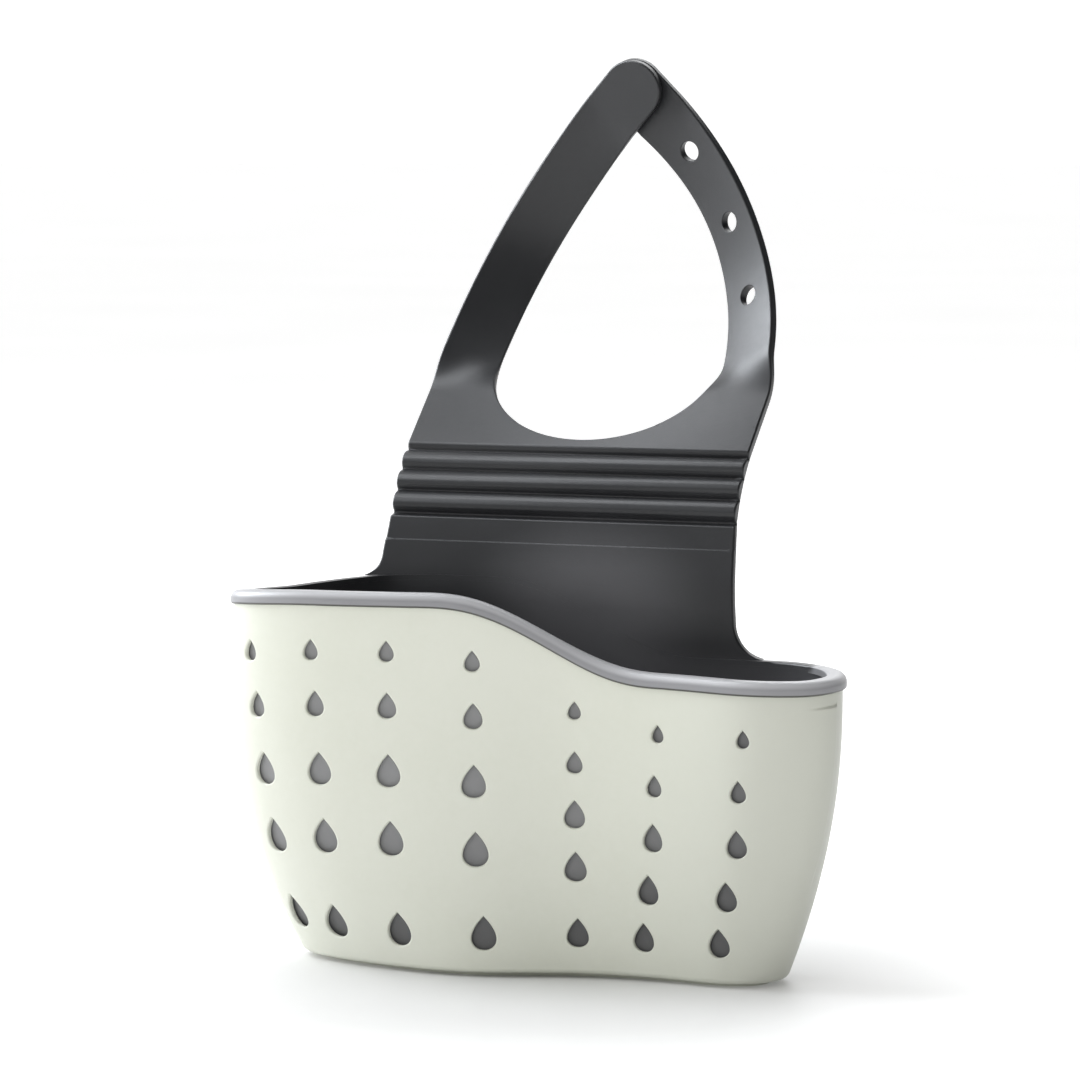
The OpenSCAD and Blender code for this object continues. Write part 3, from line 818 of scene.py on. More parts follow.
def backBend(spots, s):
    # the back wall's inner face starts to lean with the plate above it
    turn = np.arcsin(np.clip((spots[:, 2] - liner["bendZ"]) / liner["bendRadius"], 0, 1))
    fade = liner["bendFade"]
    along = smooth((liner["bendEnd"] - s) / fade) + smooth((s - liner["bendStart"]) / fade)
    return liner["bendRadius"] * (1 - np.cos(turn)) * along


def makeLiner():
    skin = Skin()
    columns = liner["columns"]
    s = np.linspace(0, places, columns + 1)

    def band(inset, low, flip, slot):
        rows = []
        normals = []

        def place(q):
            spots = bandPoints(q[:, 0], q[:, 1], inset, low, liner["topDrop"])
            if slot == 0:
                spots[:, 1] += backBend(spots, q[:, 0])
            return spots

        for v in np.linspace(1, 0, liner["rows"] + 1):
            q = np.stack([s[:-1], np.full(columns, v)], axis=1)
            rows.append(place(q))
            _, _, normal, _ = tangents(place, q, (0.004, 0.0005))
            normals.append(normal if flip else -normal)
        skin.rings(np.array(rows), np.array(normals), flip=not flip, slot=slot)

    band(liner["outside"], liner["low"] + liner["footRound"], False, 1)
    r = liner["footRound"]
    foot = footRings(skin, s, liner["low"], liner["outside"], r, r, False, 1)
    holes = drainEdges(skin, liner["low"], liner["floor"])
    floorSheet(skin, foot, liner["low"], False, holes, 1)
    band(liner["inside"], liner["floor"] + liner["innerCorner"], True, 0)
    r = liner["innerCorner"]
    corner = footRings(skin, s, liner["floor"], liner["inside"], r, r, True, 0)
    floorSheet(skin, corner, liner["floor"], True, holes, 0)
    top = rimTop(s[:-1]) - liner["topDrop"]
    rim = np.array([wallPoint(s[:-1], top, liner["inside"]), wallPoint(s[:-1], top, liner["outside"])])
    rim[0, :, 1] += backBend(rim[0], s[:-1])
    skin.rings(rim, np.tile([0.0, 0.0, 1.0], (2, columns, 1)), flip=True, slot=0)
    piece = skin.build("liner", [darkMaterial, linerMaterial])
    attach(piece, "basket")
    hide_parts("inner_liner")


makeLiner()

print("stage 6: rim bead and back lip")

rim = {
    "start": 3.3,
    "end": 13.8,
    "width": 6.5,
    "skirt": 4.4,
    "innerSkirt": 4.0,
    "round": 1.5,
    "frontRound": 2.7,
    "topRound": 2.0,
    "skirtWall": 1.1,
    "underside": 1.6,
    "seat": 5.0,  # depth at which its inner skirt clears the liner
    "flush": 4.9,
    "edgeRound": 0.35,
    "lowRound": 0.9,
    "innerRound": 0.45,
    "skirtRound": 0.15,
    "grooveRound": 0.1,
    "seatRound": 0.02,
    "startLength": 1.2,  # its inner skirt grows over this stretch
    "endLength": 0.5,
    "endWidth": 0.08,  # the inner skirt where it starts and ends
    "endDrop": 0.6,
    "endRound": 0.03,
    "endTopRound": 0.5,
    "plateEnd": 2.62,
    "freeLength": 0.1,  # past the plate the lip's inner edge is rounded
    "freeRound": 0.7,
}

# the corners that bead and lip share, from the front face down and in under the rim
skirtCorners = [(0, -rim["skirt"]), (rim["skirtWall"], -rim["skirt"]), (rim["skirtWall"], -rim["underside"])]

startTop = rimTop(np.array(rim["start"]))
beadStart = tuple(float(v) * mm for v in wallPoint(rim["start"], startTop, rim["seat"]))


def meetsLip(spot):
    # the bead darkens where it runs out into the lip
    return 1 - awayFrom(spot, beadStart, (0.004, 0.004, 0.004)).ramp(0.15, 1.0)


rimPaint = {
    **silicone,
    "light": (0.29, 0.29, 0.303, 1),
    "deep": (0.262, 0.262, 0.275, 1),
    "rough": 0.36,
    "top": (0.46, 0.46, 0.475, 1),  # painted light on top and painted shade under its edge
    "under": (0.05, 0.05, 0.042, 1),
    "paintedLightAndFade": meetsLip,
    "paintedLightAndFadeColour": (0.03, 0.03, 0.033, 1),
    "settings": {"Specular IOR Level": 0.5, "Sheen Weight": 0.1, "Sheen Roughness": 0.5},
}

rimMaterial = softRubber("light grey silicone", rimPaint)


def sweptPiece(name, s, shapes, material):
    # runs a section that may change along the rim
    skin = Skin()
    sections = np.array([points for points, _ in shapes])
    normals = np.array([outs for _, outs in shapes])
    depth = sections[..., 0]
    height = sections[..., 1]
    top = rimTop(s)
    grid = np.broadcast_to(s[:, None], depth.shape)
    tall = np.broadcast_to(top[:, None], depth.shape)
    plan = wallPlan(grid, tall)
    inward = inwardAt(grid, tall)
    points = np.concatenate([plan + depth[..., None] * inward, (tall + height)[..., None]], axis=-1)
    flat = np.zeros(depth.shape + (1,))
    inward3 = np.concatenate([inward, flat], axis=-1)
    upward = np.array([0.0, 0.0, 1.0])
    rough = normals[..., :1] * inward3 + normals[..., 1:] * upward
    onward = np.gradient(points, axis=0)
    sideways = -normals[..., 1:] * inward3 + normals[..., :1] * upward
    true = unit(across(onward, sideways))
    true *= np.sign((true * rough).sum(axis=-1, keepdims=True))
    skin.rings(points, true)
    for end, turn in ((0, -1), (-1, 1)):
        ring = points[end]
        faces = tessellate_polygon([[tuple(p) for p in sections[end].tolist()]])
        n = unit(onward[end].mean(axis=0)) * turn
        faces = np.array(faces)
        a, b, c = ring[faces[:, 0]], ring[faces[:, 1]], ring[faces[:, 2]]
        wrong = (across(b - a, c - a) @ n) < 0
        faces[wrong] = faces[wrong][:, ::-1]
        skin.add(ring, np.tile(n, (len(ring), 1)), faces)
    return skin.build(name, [material])


def makeBead():
    s = np.arange(rim["start"], rim["end"] + 0.01, 0.04)
    shapes = []
    for place in s:
        away = min((place - rim["start"]) / rim["startLength"], (rim["end"] - place) / rim["endLength"])
        full = float(smooth(np.array(away)))
        inner = mix(rim["seat"] + rim["endWidth"], rim["width"], full)
        low = mix(rim["underside"] + rim["endDrop"], rim["innerSkirt"], full)
        innerCorners = [(rim["seat"], -rim["underside"]), (rim["seat"], -low), (inner, -low), (inner, 0)]
        soft = mix(rim["endRound"], rim["innerRound"], full)
        top = mix(rim["endTopRound"], rim["topRound"], full)
        front = mix(rim["round"], rim["frontRound"], full)
        radii = [rim["lowRound"], rim["skirtRound"], rim["grooveRound"], rim["seatRound"], rim["seatRound"],
                 soft, top, front]
        shapes.append(roundedSection([*skirtCorners, *innerCorners, (0, 0)], radii, 6))
    piece = sweptPiece("rimBead", s, shapes, rimMaterial)
    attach(piece, "basket")
    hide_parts("rim_bead")


def makeLip():
    s = np.linspace(rim["end"], places + rim["start"], 100)
    shapes = []
    for place in s:
        free = float(smooth(np.array((place - places - rim["plateEnd"]) / rim["freeLength"])))
        heights = np.array([-rim["underside"], 0.0])
        turn = np.full(2, place % places)
        lean = backBend(wallPoint(turn, rimTop(turn) + heights, rim["flush"]), turn)
        innerCorners = [(rim["flush"] - lean[0], -rim["underside"]), (rim["flush"] - lean[1], 0)]
        top = mix(rim["seatRound"], rim["freeRound"], free)
        radii = [rim["edgeRound"], rim["edgeRound"], rim["grooveRound"], 0.0, top, rim["round"]]
        shapes.append(roundedSection([*skirtCorners, *innerCorners, (0, 0)], radii, 6))
    piece = sweptPiece("backLip", s, shapes, darkMaterial)
    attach(piece, "basket")
    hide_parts("back_lip")


makeBead()
makeLip()

print("stage 7: back plate")

plate = {
    "middleX": -7.0,
    "footWidth": 117.0,
    "width": 113.5,
    "thickness": 3.0,
    "rise": 17.6,
    "lean": 14.0,
    "bendDrop": 26.6,
    "bendRadius": 50.0,
    "leftRoot": 7.0,
    "rightRoot": 11.0,
    "ledge": 0.5,
    "ledgeDrop": 8.5,
    "ledgeSoft": 0.5,
    "edgeRound": 0.7,
    "ribPitch": 7.2,
    "grooveAngle": 8.5,
    "footClear": 0.02,  # its foot starts this far over the lip, and its sides a little higher
    "leftClear": 0.1,
    "rightClear": 0.15,
    "columns": 34,  # points across at every seam up to the strap
    "sideSteps": 40,
    "footSteps": 60,
    "clear": 0.45,
}

halfT = plate["thickness"] / 2
leanA = math.radians(plate["lean"])
bendR = plate["bendRadius"]
backY = float(wallPlan(np.array(1.0), np.array(wall["rimLow"]))[1])
plateY = backY - liner["inside"] + halfT
bendLength = bendR * leanA
foldZ = wall["rimHigh"] + plate["rise"]
bendZ = foldZ - plate["bendDrop"]
foldG = bendLength + (foldZ - bendZ - bendR * math.sin(leanA) + halfT * math.sin(leanA)) / math.cos(leanA)
joinG = foldG - plate["ribPitch"] / 2  # the plate ends here and the first fold begins


def plateMiddle(g):
    a = np.clip(np.maximum(g, 0) / bendR, 0, leanA)
    rest = np.maximum(g - bendLength, 0)
    y = plateY + bendR * (1 - np.cos(a)) + rest * np.sin(a)
    z = bendZ + np.minimum(g, 0) + bendR * np.sin(a) + rest * np.cos(a)
    return y, z, a


def plateFront(g):
    # front face over the back face, lower above the ledge
    above = smooth((g - foldG + plate["ledgeDrop"]) / plate["ledgeSoft"] + 0.5)
    return plate["thickness"] - plate["ledge"] * above


def platePlace(q, depth):
    y, z, a = plateMiddle(q[:, 1])
    out = plateFront(q[:, 1]) - halfT - depth
    return np.stack([q[:, 0], y - out * np.cos(a), z + out * np.sin(a)], axis=1)


def gFromZ(z):
    over = z - bendZ
    turn = bendR * math.sin(leanA)
    bent = bendR * np.arcsin(np.clip(over / bendR, -1, math.sin(leanA)))
    straight = bendLength + (over - turn) / math.cos(leanA)
    return np.where(over < 0, over, np.where(over < turn, bent, straight))


plateLeft = plate["middleX"] - plate["footWidth"] / 2
plateRight = plate["middleX"] + plate["footWidth"] / 2
leftFoot = float(rimHeight(np.array(plateLeft)) - backSag(plateLeft - plate["leftRoot"]))
rightFoot = float(rimHeight(np.array(plateRight)) - backSag(plateRight + plate["rightRoot"]))
topZ = foldZ + plate["thickness"]


def plateEdge(z, side):
    # half-width of the plate at a height, with the root where it meets the rim
    foot = rightFoot if side > 0 else leftFoot
    r = plate["rightRoot"] if side > 0 else plate["leftRoot"]
    up = np.clip((z - foot) / r, 0, 1)
    flare = r * (1 - np.sqrt(np.maximum(1 - (1 - up) ** 2, 0)))
    narrow = np.clip((z - foot - r) / (topZ - foot - r), 0, 1)
    return mix(plate["footWidth"] / 2, plate["width"] / 2, narrow) + flare


def makePlate():
    joinZ = float(plateMiddle(np.array(joinG))[1])
    rise = np.linspace(0, 1, plate["sideSteps"]) ** 1.5
    rows = np.concatenate([joinG - np.arange(0, 5.0, 1.0), np.linspace(-20, joinG - 5.5, 26)])
    ledgeRows = foldG - plate["ledgeDrop"] + np.linspace(-0.4, 0.4, 9)
    rightZ = mix(rightFoot + plate["rightClear"], joinZ, rise)
    leftZ = mix(leftFoot + plate["leftClear"], joinZ, rise)
    right = np.stack([plate["middleX"] + plateEdge(rightZ, 1), gFromZ(rightZ)], axis=1)
    left = np.stack([plate["middleX"] - plateEdge(leftZ, -1), gFromZ(leftZ)], axis=1)
    footX = np.linspace(left[0, 0], right[0, 0], plate["footSteps"])[1:-1]
    footZ = rimHeight(footX) - backSag(footX) + plate["footClear"]
    lean = np.clip(np.maximum(footZ - bendZ, 0) / bendR, 0, leanA)
    foot = np.stack([footX, gFromZ(footZ) - halfT * np.sin(lean)], axis=1)
    topX = np.linspace(right[-1, 0], left[-1, 0], plate["columns"])[1:-1]
    top = np.stack([topX, np.full(len(topX), joinG)], axis=1)
    outline, seam = sheetOutline(left, foot, right, top)
    gridX, gridG = np.meshgrid(np.linspace(-80, 66, 50), np.concatenate([rows, ledgeRows]))
    inner = np.stack([gridX.ravel(), gridG.ravel()], axis=1)
    overRim = outline[:, 1] - gFromZ(rimHeight(outline[:, 0]) - backSag(outline[:, 0]))
    radius = plate["edgeRound"] * smooth(overRim / 3 + 0.02)
    skin = Skin()
    thick = lambda q: plateFront(q[:, 1])
    slab(skin, outline, seam, [], inner, platePlace, thick, nearby, radius, 1, plate["clear"])
    piece = skin.build("backPlate", [darkMaterial])
    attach(piece, "basket")
    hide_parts("back_plate")


makePlate()

print("stage 8: folds")

fold = {
    "round": 0.6,
    "ribPlaces": [0, 0.3, 0.85, 1.7, 2.9, 4.1, 5.3, 6.3, 6.9, 7.2],
    "ribHeights": [0.8, 0.95, 2.0, 2.9, 3.3, 3.2, 2.75, 2.0, 1.15, 0.8],
    "plateHeights": [2.5, 2.5, 2.35, 1.6, 0.92, 0.8],
    "platePlaces": [-3.6, -1.6, -1.15, -0.7, -0.3, 0],
    "yokePlaces": [0, 0.3, 0.8, 1.4, 2.0, 3.6],
    "yokeHeights": [0.8, 0.92, 1.9, 2.6, 2.8, 2.8],
    "turnSpan": 1.0,
    "bendReach": 1.5,  # a length each way from a fold's line; the ends worked out from it are not used
    "clear": 0.35,
}


def leanOf(k):
    return leanA + math.radians(plate["grooveAngle"]) * k


def alongOf(k):
    return np.array([math.sin(leanOf(k)), math.cos(leanOf(k))])


leanBack = np.array([math.cos(leanA), -math.sin(leanA)])
foldPoints = [np.array(plateMiddle(np.array(foldG))[:2]) + halfT * leanBack]
for k in range(1, 4):
    foldPoints.append(foldPoints[-1] + plate["ribPitch"] * alongOf(k))


def foldHeight(k, w):
    # front face over the back face, at a distance w above fold line k
    if k == 0:
        below = curveThrough(fold["platePlaces"], fold["plateHeights"], np.minimum(w, 0))
    else:
        below = curveThrough(fold["ribPlaces"], fold["ribHeights"], plate["ribPitch"] + np.minimum(w, 0))
    if k == 3:
        above = curveThrough(fold["yokePlaces"], fold["yokeHeights"], np.maximum(w, 0))
    else:
        above = curveThrough(fold["ribPlaces"], fold["ribHeights"], np.maximum(w, 0))
    return np.where(w < 0, below, above)


def foldPlace(k, q, depth):
    w = q[:, 1]
    before = alongOf(k)
    after = alongOf(k + 1)
    span = fold["turnSpan"]
    ramp = np.where(w < -span, 0, np.where(w > span, w, (w + span) ** 2 / 4 / span))
    slope = np.clip((w + span) / 2 / span, 0, 1)
    back = foldPoints[k] + w[:, None] * before + ramp[:, None] * (after - before)
    along = unit(before + slope[:, None] * (after - before))
    out = foldHeight(k, w) - depth
    y = back[:, 0] - out * along[:, 1]
    z = back[:, 1] + out * along[:, 0]
    return np.stack([q[:, 0], y, z], axis=1)


def makeFold(k, replaced):
    half = plate["ribPitch"] / 2
    fine = np.arange(-1.9, 1.91, 0.1)
    rows = np.concatenate([np.linspace(-half, -2.0, 9), fine, np.linspace(2.0, half, 9)])
    wide = np.full(len(rows), plate["width"] / 2)
    rightHalf = leftHalf = wide
    if k == 0:
        z = foldPoints[0][1] + rows * math.cos(leanA)
        keep = 1 - smooth((rows + 1.5) / 2.5)
        rightHalf = mix(wide, plateEdge(z + halfT * math.sin(leanA), 1), keep)
        leftHalf = mix(wide, plateEdge(z + halfT * math.sin(leanA), -1), keep)
    right = np.stack([plate["middleX"] + rightHalf, rows], axis=1)
    left = np.stack([plate["middleX"] - leftHalf, rows], axis=1)
    share = np.linspace(0, 1, plate["columns"])[1:-1]
    low = np.stack([mix(left[0, 0], right[0, 0], share), np.full(len(share), rows[0])], axis=1)
    high = np.stack([mix(right[-1, 0], left[-1, 0], share), np.full(len(share), rows[-1])], axis=1)
    outline, seam = sheetOutline(left, low, right, high)
    ends = (plate["middleX"] - plate["width"] / 2, plate["middleX"] + plate["width"] / 2)
    gridX, gridW = np.meshgrid(mix(*ends, np.linspace(0, 1, plate["columns"])), rows[1:-1])
    inner = np.stack([gridX.ravel(), gridW.ravel()], axis=1)
    skin = Skin()
    place = lambda q, depth: foldPlace(k, q, depth)
    thick = lambda q: foldHeight(k, q[:, 1])
    slab(skin, outline, seam, [], inner, place, thick, (0.05, 0.01), fold["round"], 1, fold["clear"])
    piece = skin.build("fold%d" % (k + 1), [darkMaterial])
    start = foldPoints[k] - fold["bendReach"] * alongOf(k)
    end = foldPoints[k] + fold["bendReach"] * alongOf(k + 1)
    start[0] * mm
    start[1] * mm
    end[0] * mm
    end[1] * mm
    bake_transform(piece)
    if replaced:
        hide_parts(replaced)


makeFold(0, "fold_rib_1")
makeFold(1, "fold_rib_2")
makeFold(2, "fold_rib_3")
makeFold(3, None)

print("stage 9: yoke")

strap = {
    "thickness": 2.8,
    "loopWidth": 74.0,
    "loopDepth": 32.0,
    "loopFoot": 5.0,
    "armRoot": 24.0,
    "armWidth": 19.0,
    "armRise": 40.0,
    "armReach": 41.0,
    "studRise": 96.3,
    "studBack": 32.4,
    "tipFlat": 12.0,
    "tipSlant": 43.0,
    "tipTilt": 10.0,
    "turnAngle": 31.0,
    "turnShare": 0.16,  # shares of an arm's length in which it turns, narrows and moves over the other
    "narrowShare": 0.2,
    "overStart": 0.35,
    "overShare": 0.6,
    "gap": 0.3,
    "edgeRound": 0.6,
    "yokeClear": 0.7,
    "armClear": 0.8,
    "join": 12.0,  # the arms' pieces begin at this distance over the last fold line
    "bendBelow": 9.0,  # a stretch round an arm's root, from here below its middle to here above it; nothing bends over it
    "bendAbove": 16.0,
}

strapLean = leanOf(4)
strapAlong = np.array([0, math.sin(strapLean), math.cos(strapLean)])
strapOut = np.array([0, -math.cos(strapLean), math.sin(strapLean)])
strapFoot = np.array([0, foldPoints[3][0], foldPoints[3][1]])
halfStrap = plate["width"] / 2
loopMiddle = strap["loopFoot"] + strap["loopDepth"]


def loopHalf(w):
    k = (loopMiddle - w) / strap["loopDepth"]
    return strap["loopWidth"] / 2 * np.sqrt(np.maximum(1 - k * k, 0))


def yokePlace(q, depth):
    flat = strapFoot + q[:, 1:] * strapAlong + (strap["thickness"] - depth)[:, None] * strapOut
    flat[:, 0] = plate["middleX"] + q[:, 0]
    return flat


def makeYoke():
    low = plate["ribPitch"] / 2
    high = strap["join"]
    share = np.linspace(0, 1, plate["columns"])[1:-1]
    side = np.linspace(low, high, 9)
    end = math.asin((loopMiddle - high) / strap["loopDepth"])
    around = np.linspace(2 * math.pi - end, math.pi + end, 61)
    loopX = strap["loopWidth"] / 2 * np.cos(around)
    loop = np.stack([loopX, loopMiddle + strap["loopDepth"] * np.sin(around)], axis=1)
    foot = np.stack([mix(-halfStrap, halfStrap, share), np.full(len(share), low)], axis=1)
    right = np.stack([np.full(len(side), halfStrap), side], axis=1)
    topRight = np.stack([np.linspace(halfStrap, loop[0, 0], 12)[1:-1], np.full(10, high)], axis=1)
    topLeft = np.stack([np.linspace(loop[-1, 0], -halfStrap, 12)[1:-1], np.full(10, high)], axis=1)
    left = np.stack([np.full(len(side), -halfStrap), side[::-1]], axis=1)
    outline = np.vstack([left[-1:], foot, right, topRight, loop, topLeft, left[:-1]])
    seam = np.zeros(len(outline), bool)
    seam[: len(foot) + 1] = True
    at = len(foot) + len(right)
    seam[at: at + len(topRight) + 1] = True
    at += len(topRight) + len(loop)
    seam[at: at + len(topLeft) + 1] = True
    gridX, gridW = np.meshgrid(np.linspace(-halfStrap, halfStrap, 50), np.linspace(low, high, 8)[1:-1])
    inner = np.stack([gridX.ravel(), gridW.ravel()], axis=1)
    skin = Skin()
    thick = lambda q: np.full(len(q), strap["thickness"])
    slab(skin, outline, seam, [], inner, yokePlace, thick, nearby, strap["edgeRound"], 1, strap["yokeClear"])
    piece = skin.build("yoke", [darkMaterial])
    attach(piece, "yoke")
    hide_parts("strap_yoke")


makeYoke()

print("stage 10: arms")

rootWidth = halfStrap - float(loopHalf(np.array(strap["armRoot"])))
rootPoint = strapFoot + (strap["armRoot"] + strap["gap"] / 2) * strapAlong
rootPoint = rootPoint + strap["thickness"] / 2 * strapOut
rootPoint[0] = (halfStrap + float(loopHalf(np.array(strap["armRoot"])))) / 2
slant = math.radians(strap["tipSlant"])
tilt = math.radians(strap["tipTilt"])
tipDir = unit(np.array([-math.sin(slant), -math.cos(slant) * math.tan(tilt), math.cos(slant)]))
studPoint = np.array([0, rootPoint[1] + strap["studBack"], rootPoint[2] + strap["studRise"]])
flatPoint = studPoint - strap["tipFlat"] * tipDir
rootHandle = rootPoint + strap["armRise"] * strapAlong
tipHandle = flatPoint - strap["armReach"] * tipDir
tipOffset = (strap["thickness"] + strap["gap"]) / 2


def armCurve(t):
    t = t[..., None]
    return ((1 - t) ** 3 * rootPoint + 3 * t * (1 - t) ** 2 * rootHandle + 3 * t * t * (1 - t) * tipHandle
            + t ** 3 * flatPoint)


def armDirection(t):
    t = t[..., None]
    return unit((1 - t) ** 2 * (rootHandle - rootPoint) + 2 * t * (1 - t) * (tipHandle - rootHandle)
                + t * t * (flatPoint - tipHandle))


lengthT = np.linspace(0, 1, 1201)
lengthSteps = np.linalg.norm(np.diff(armCurve(lengthT), axis=0), axis=1)
lengthTable = np.concatenate([[0], np.cumsum(lengthSteps)])
curveLength = float(lengthTable[-1])
studLength = curveLength + strap["tipFlat"]
startLength = strap["join"] - strap["armRoot"] - strap["gap"] / 2


def armFrame(length, side):
    # middle, direction, face and front vectors and half-width of an arm at a length from its root
    t = np.interp(length, lengthTable, lengthT)
    w = strap["armRoot"] + np.minimum(length, 0) * (strap["armRoot"] - strap["join"]) / -startLength
    onYoke = length < 0
    root = strapFoot + (strap["armRoot"] + strap["gap"] / 2 + np.minimum(length, 0))[:, None] * strapAlong
    root = root + strap["thickness"] / 2 * strapOut
    root[:, 0] = (halfStrap + loopHalf(w)) / 2
    curve = armCurve(t) + np.maximum(length - curveLength, 0)[:, None] * tipDir
    middle = np.where(onYoke[:, None], root, curve)
    ahead = np.where(onYoke[:, None], strapAlong, armDirection(t))
    turn = np.radians(strap["turnAngle"]) * smooth(t / strap["turnShare"]) * (1 - t ** 4)
    half = mix(strap["armWidth"], rootWidth, (1 - np.minimum(t / strap["narrowShare"], 1)) ** 3) / 2
    half = np.where(onYoke, (halfStrap - loopHalf(w)) / 2, half)
    ahead = ahead * np.array([side, 1, 1])
    level = np.stack([-side * np.cos(turn), np.sin(turn), np.zeros(len(t))], axis=1)
    face = unit(level - (level * ahead).sum(axis=1, keepdims=True) * ahead)
    front = -side * across(face, ahead)
    drawn = np.where(onYoke, 0, (rootWidth / 2 - half) * (1 - smooth(t)))
    middle = middle * np.array([side, 1, 1]) + np.array([plate["middleX"], 0, 0])
    over = tipOffset * smooth((t - strap["overStart"]) / strap["overShare"])
    middle = middle - drawn[:, None] * face - side * over[:, None] * front
    return middle, ahead, face, front, half


def armPlace(side, q, depth):
    middle, _, face, front, _ = armFrame(q[:, 0], side)
    return middle + q[:, 1:] * face + (strap["thickness"] / 2 - depth)[:, None] * front


holes = {"radius": 3.2, "pitch": 26.6, "count": 4, "round": 0.35, "points": 40}


def makeArm(side, name, replaced):
    foot = np.linspace(startLength, -1, 8)
    rows = np.concatenate([foot, np.linspace(0.5, curveLength, 60), [curveLength + 5.5, studLength]])
    _, _, _, _, half = armFrame(rows, side)
    outer = np.stack([rows, -half], axis=1)
    inner = np.stack([rows, half], axis=1)
    around = np.linspace(-math.pi / 2, math.pi / 2, 33)[1:-1]
    r = strap["armWidth"] / 2
    tip = np.stack([studLength + r * np.cos(around), r * np.sin(around)], axis=1)
    end = np.stack([np.full(8, startLength), np.linspace(half[0], -half[0], 10)[1:-1]], axis=1)
    outline = np.vstack([outer, tip, inner[::-1], end])
    seam = np.zeros(len(outline), bool)
    seam[len(outer) + len(tip) + len(inner) - 1:] = True
    gridRow, gridShare = np.meshgrid(np.concatenate([rows[1:], studLength + np.array([2.5, 5, 7.0])]),
                                     np.linspace(-0.8, 0.8, 7))
    _, _, _, _, halfGrid = armFrame(gridRow.ravel(), side)
    grid = np.stack([gridRow.ravel(), gridShare.ravel() * halfGrid], axis=1)
    loops = []
    if side > 0:
        for k in range(holes["count"]):
            loops.append(roundHole(studLength - k * holes["pitch"], 0, holes["radius"], holes["points"]))
    skin = Skin()
    place = lambda q, depth: armPlace(side, q, depth)
    thick = lambda q: np.full(len(q), strap["thickness"])
    r = strap["edgeRound"]
    slab(skin, outline, seam, loops, grid, place, thick, nearby, r, side, strap["armClear"], holes["round"])
    piece = skin.build(name, [darkMaterial])
    root = strapFoot + strap["armRoot"] * strapAlong
    end = root + strap["bendAbove"] * strapAlong
    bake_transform(piece)
    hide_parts(replaced)


makeArm(-1, "leftArm", "left_arm")
makeArm(1, "rightArm", "right_arm")

print("stage 11: stud")

stud = {"neck": 2.9, "neckLength": 3.4, "head": 4.7, "headHeight": 3.4, "turns": 48}


def makeStud():
    a = np.radians(np.linspace(0, 82, 12))
    neck = stud["neck"]
    top = stud["neckLength"]
    domeHeight = top + 0.35 + (stud["headHeight"] - 0.35) * np.sin(a)
    dome = np.stack([mix(neck * 0.4, stud["head"], np.cos(a)), domeHeight], axis=1)
    lower = [(neck + 0.55, -0.05), (neck + 0.25, 0.08), (neck + 0.06, 0.3), (neck, 0.6), (neck, top - 0.35),
             (neck + 0.12, top - 0.1), (neck + 0.35, top), (stud["head"] - 0.3, top),
             (stud["head"] - 0.08, top + 0.1)]
    profile = np.vstack([lower, dome, [[0.01, top + stud["headHeight"]]]])
    along = np.gradient(profile, axis=0)
    out = unit(np.stack([along[:, 1], -along[:, 0]], axis=1))
    middle, ahead, face, front, _ = armFrame(np.array([studLength]), -1)
    base = middle[0] - strap["thickness"] / 2 * front[0]
    turn = 2 * math.pi * np.arange(stud["turns"]) / stud["turns"]
    spoke = np.cos(turn)[:, None] * face[0] + np.sin(turn)[:, None] * ahead[0]
    points = base + profile[:, 0, None, None] * spoke[None] - profile[:, 1, None, None] * front[0]
    normals = out[:, 0, None, None] * spoke[None] - out[:, 1, None, None] * front[0]
    skin = Skin()
    order = across(face[0], ahead[0]) @ front[0] > 0
    skin.rings(points, normals, flip=not order)
    for k, ring in ((0, points[0]), (-1, points[-1])):
        fan = [[0, i, i + 1] for i in range(1, stud["turns"] - 1)]
        if (k == 0) != order:
            fan = [f[::-1] for f in fan]
        skin.add(ring, np.tile(front[0] * (1 if k == 0 else -1), (len(ring), 1)), fan)
    piece = skin.build("snapStud", [darkMaterial])
    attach(piece, "left_strap")
    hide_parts("snap_stud")


makeStud()

print("stage 12: floor, light and camera")

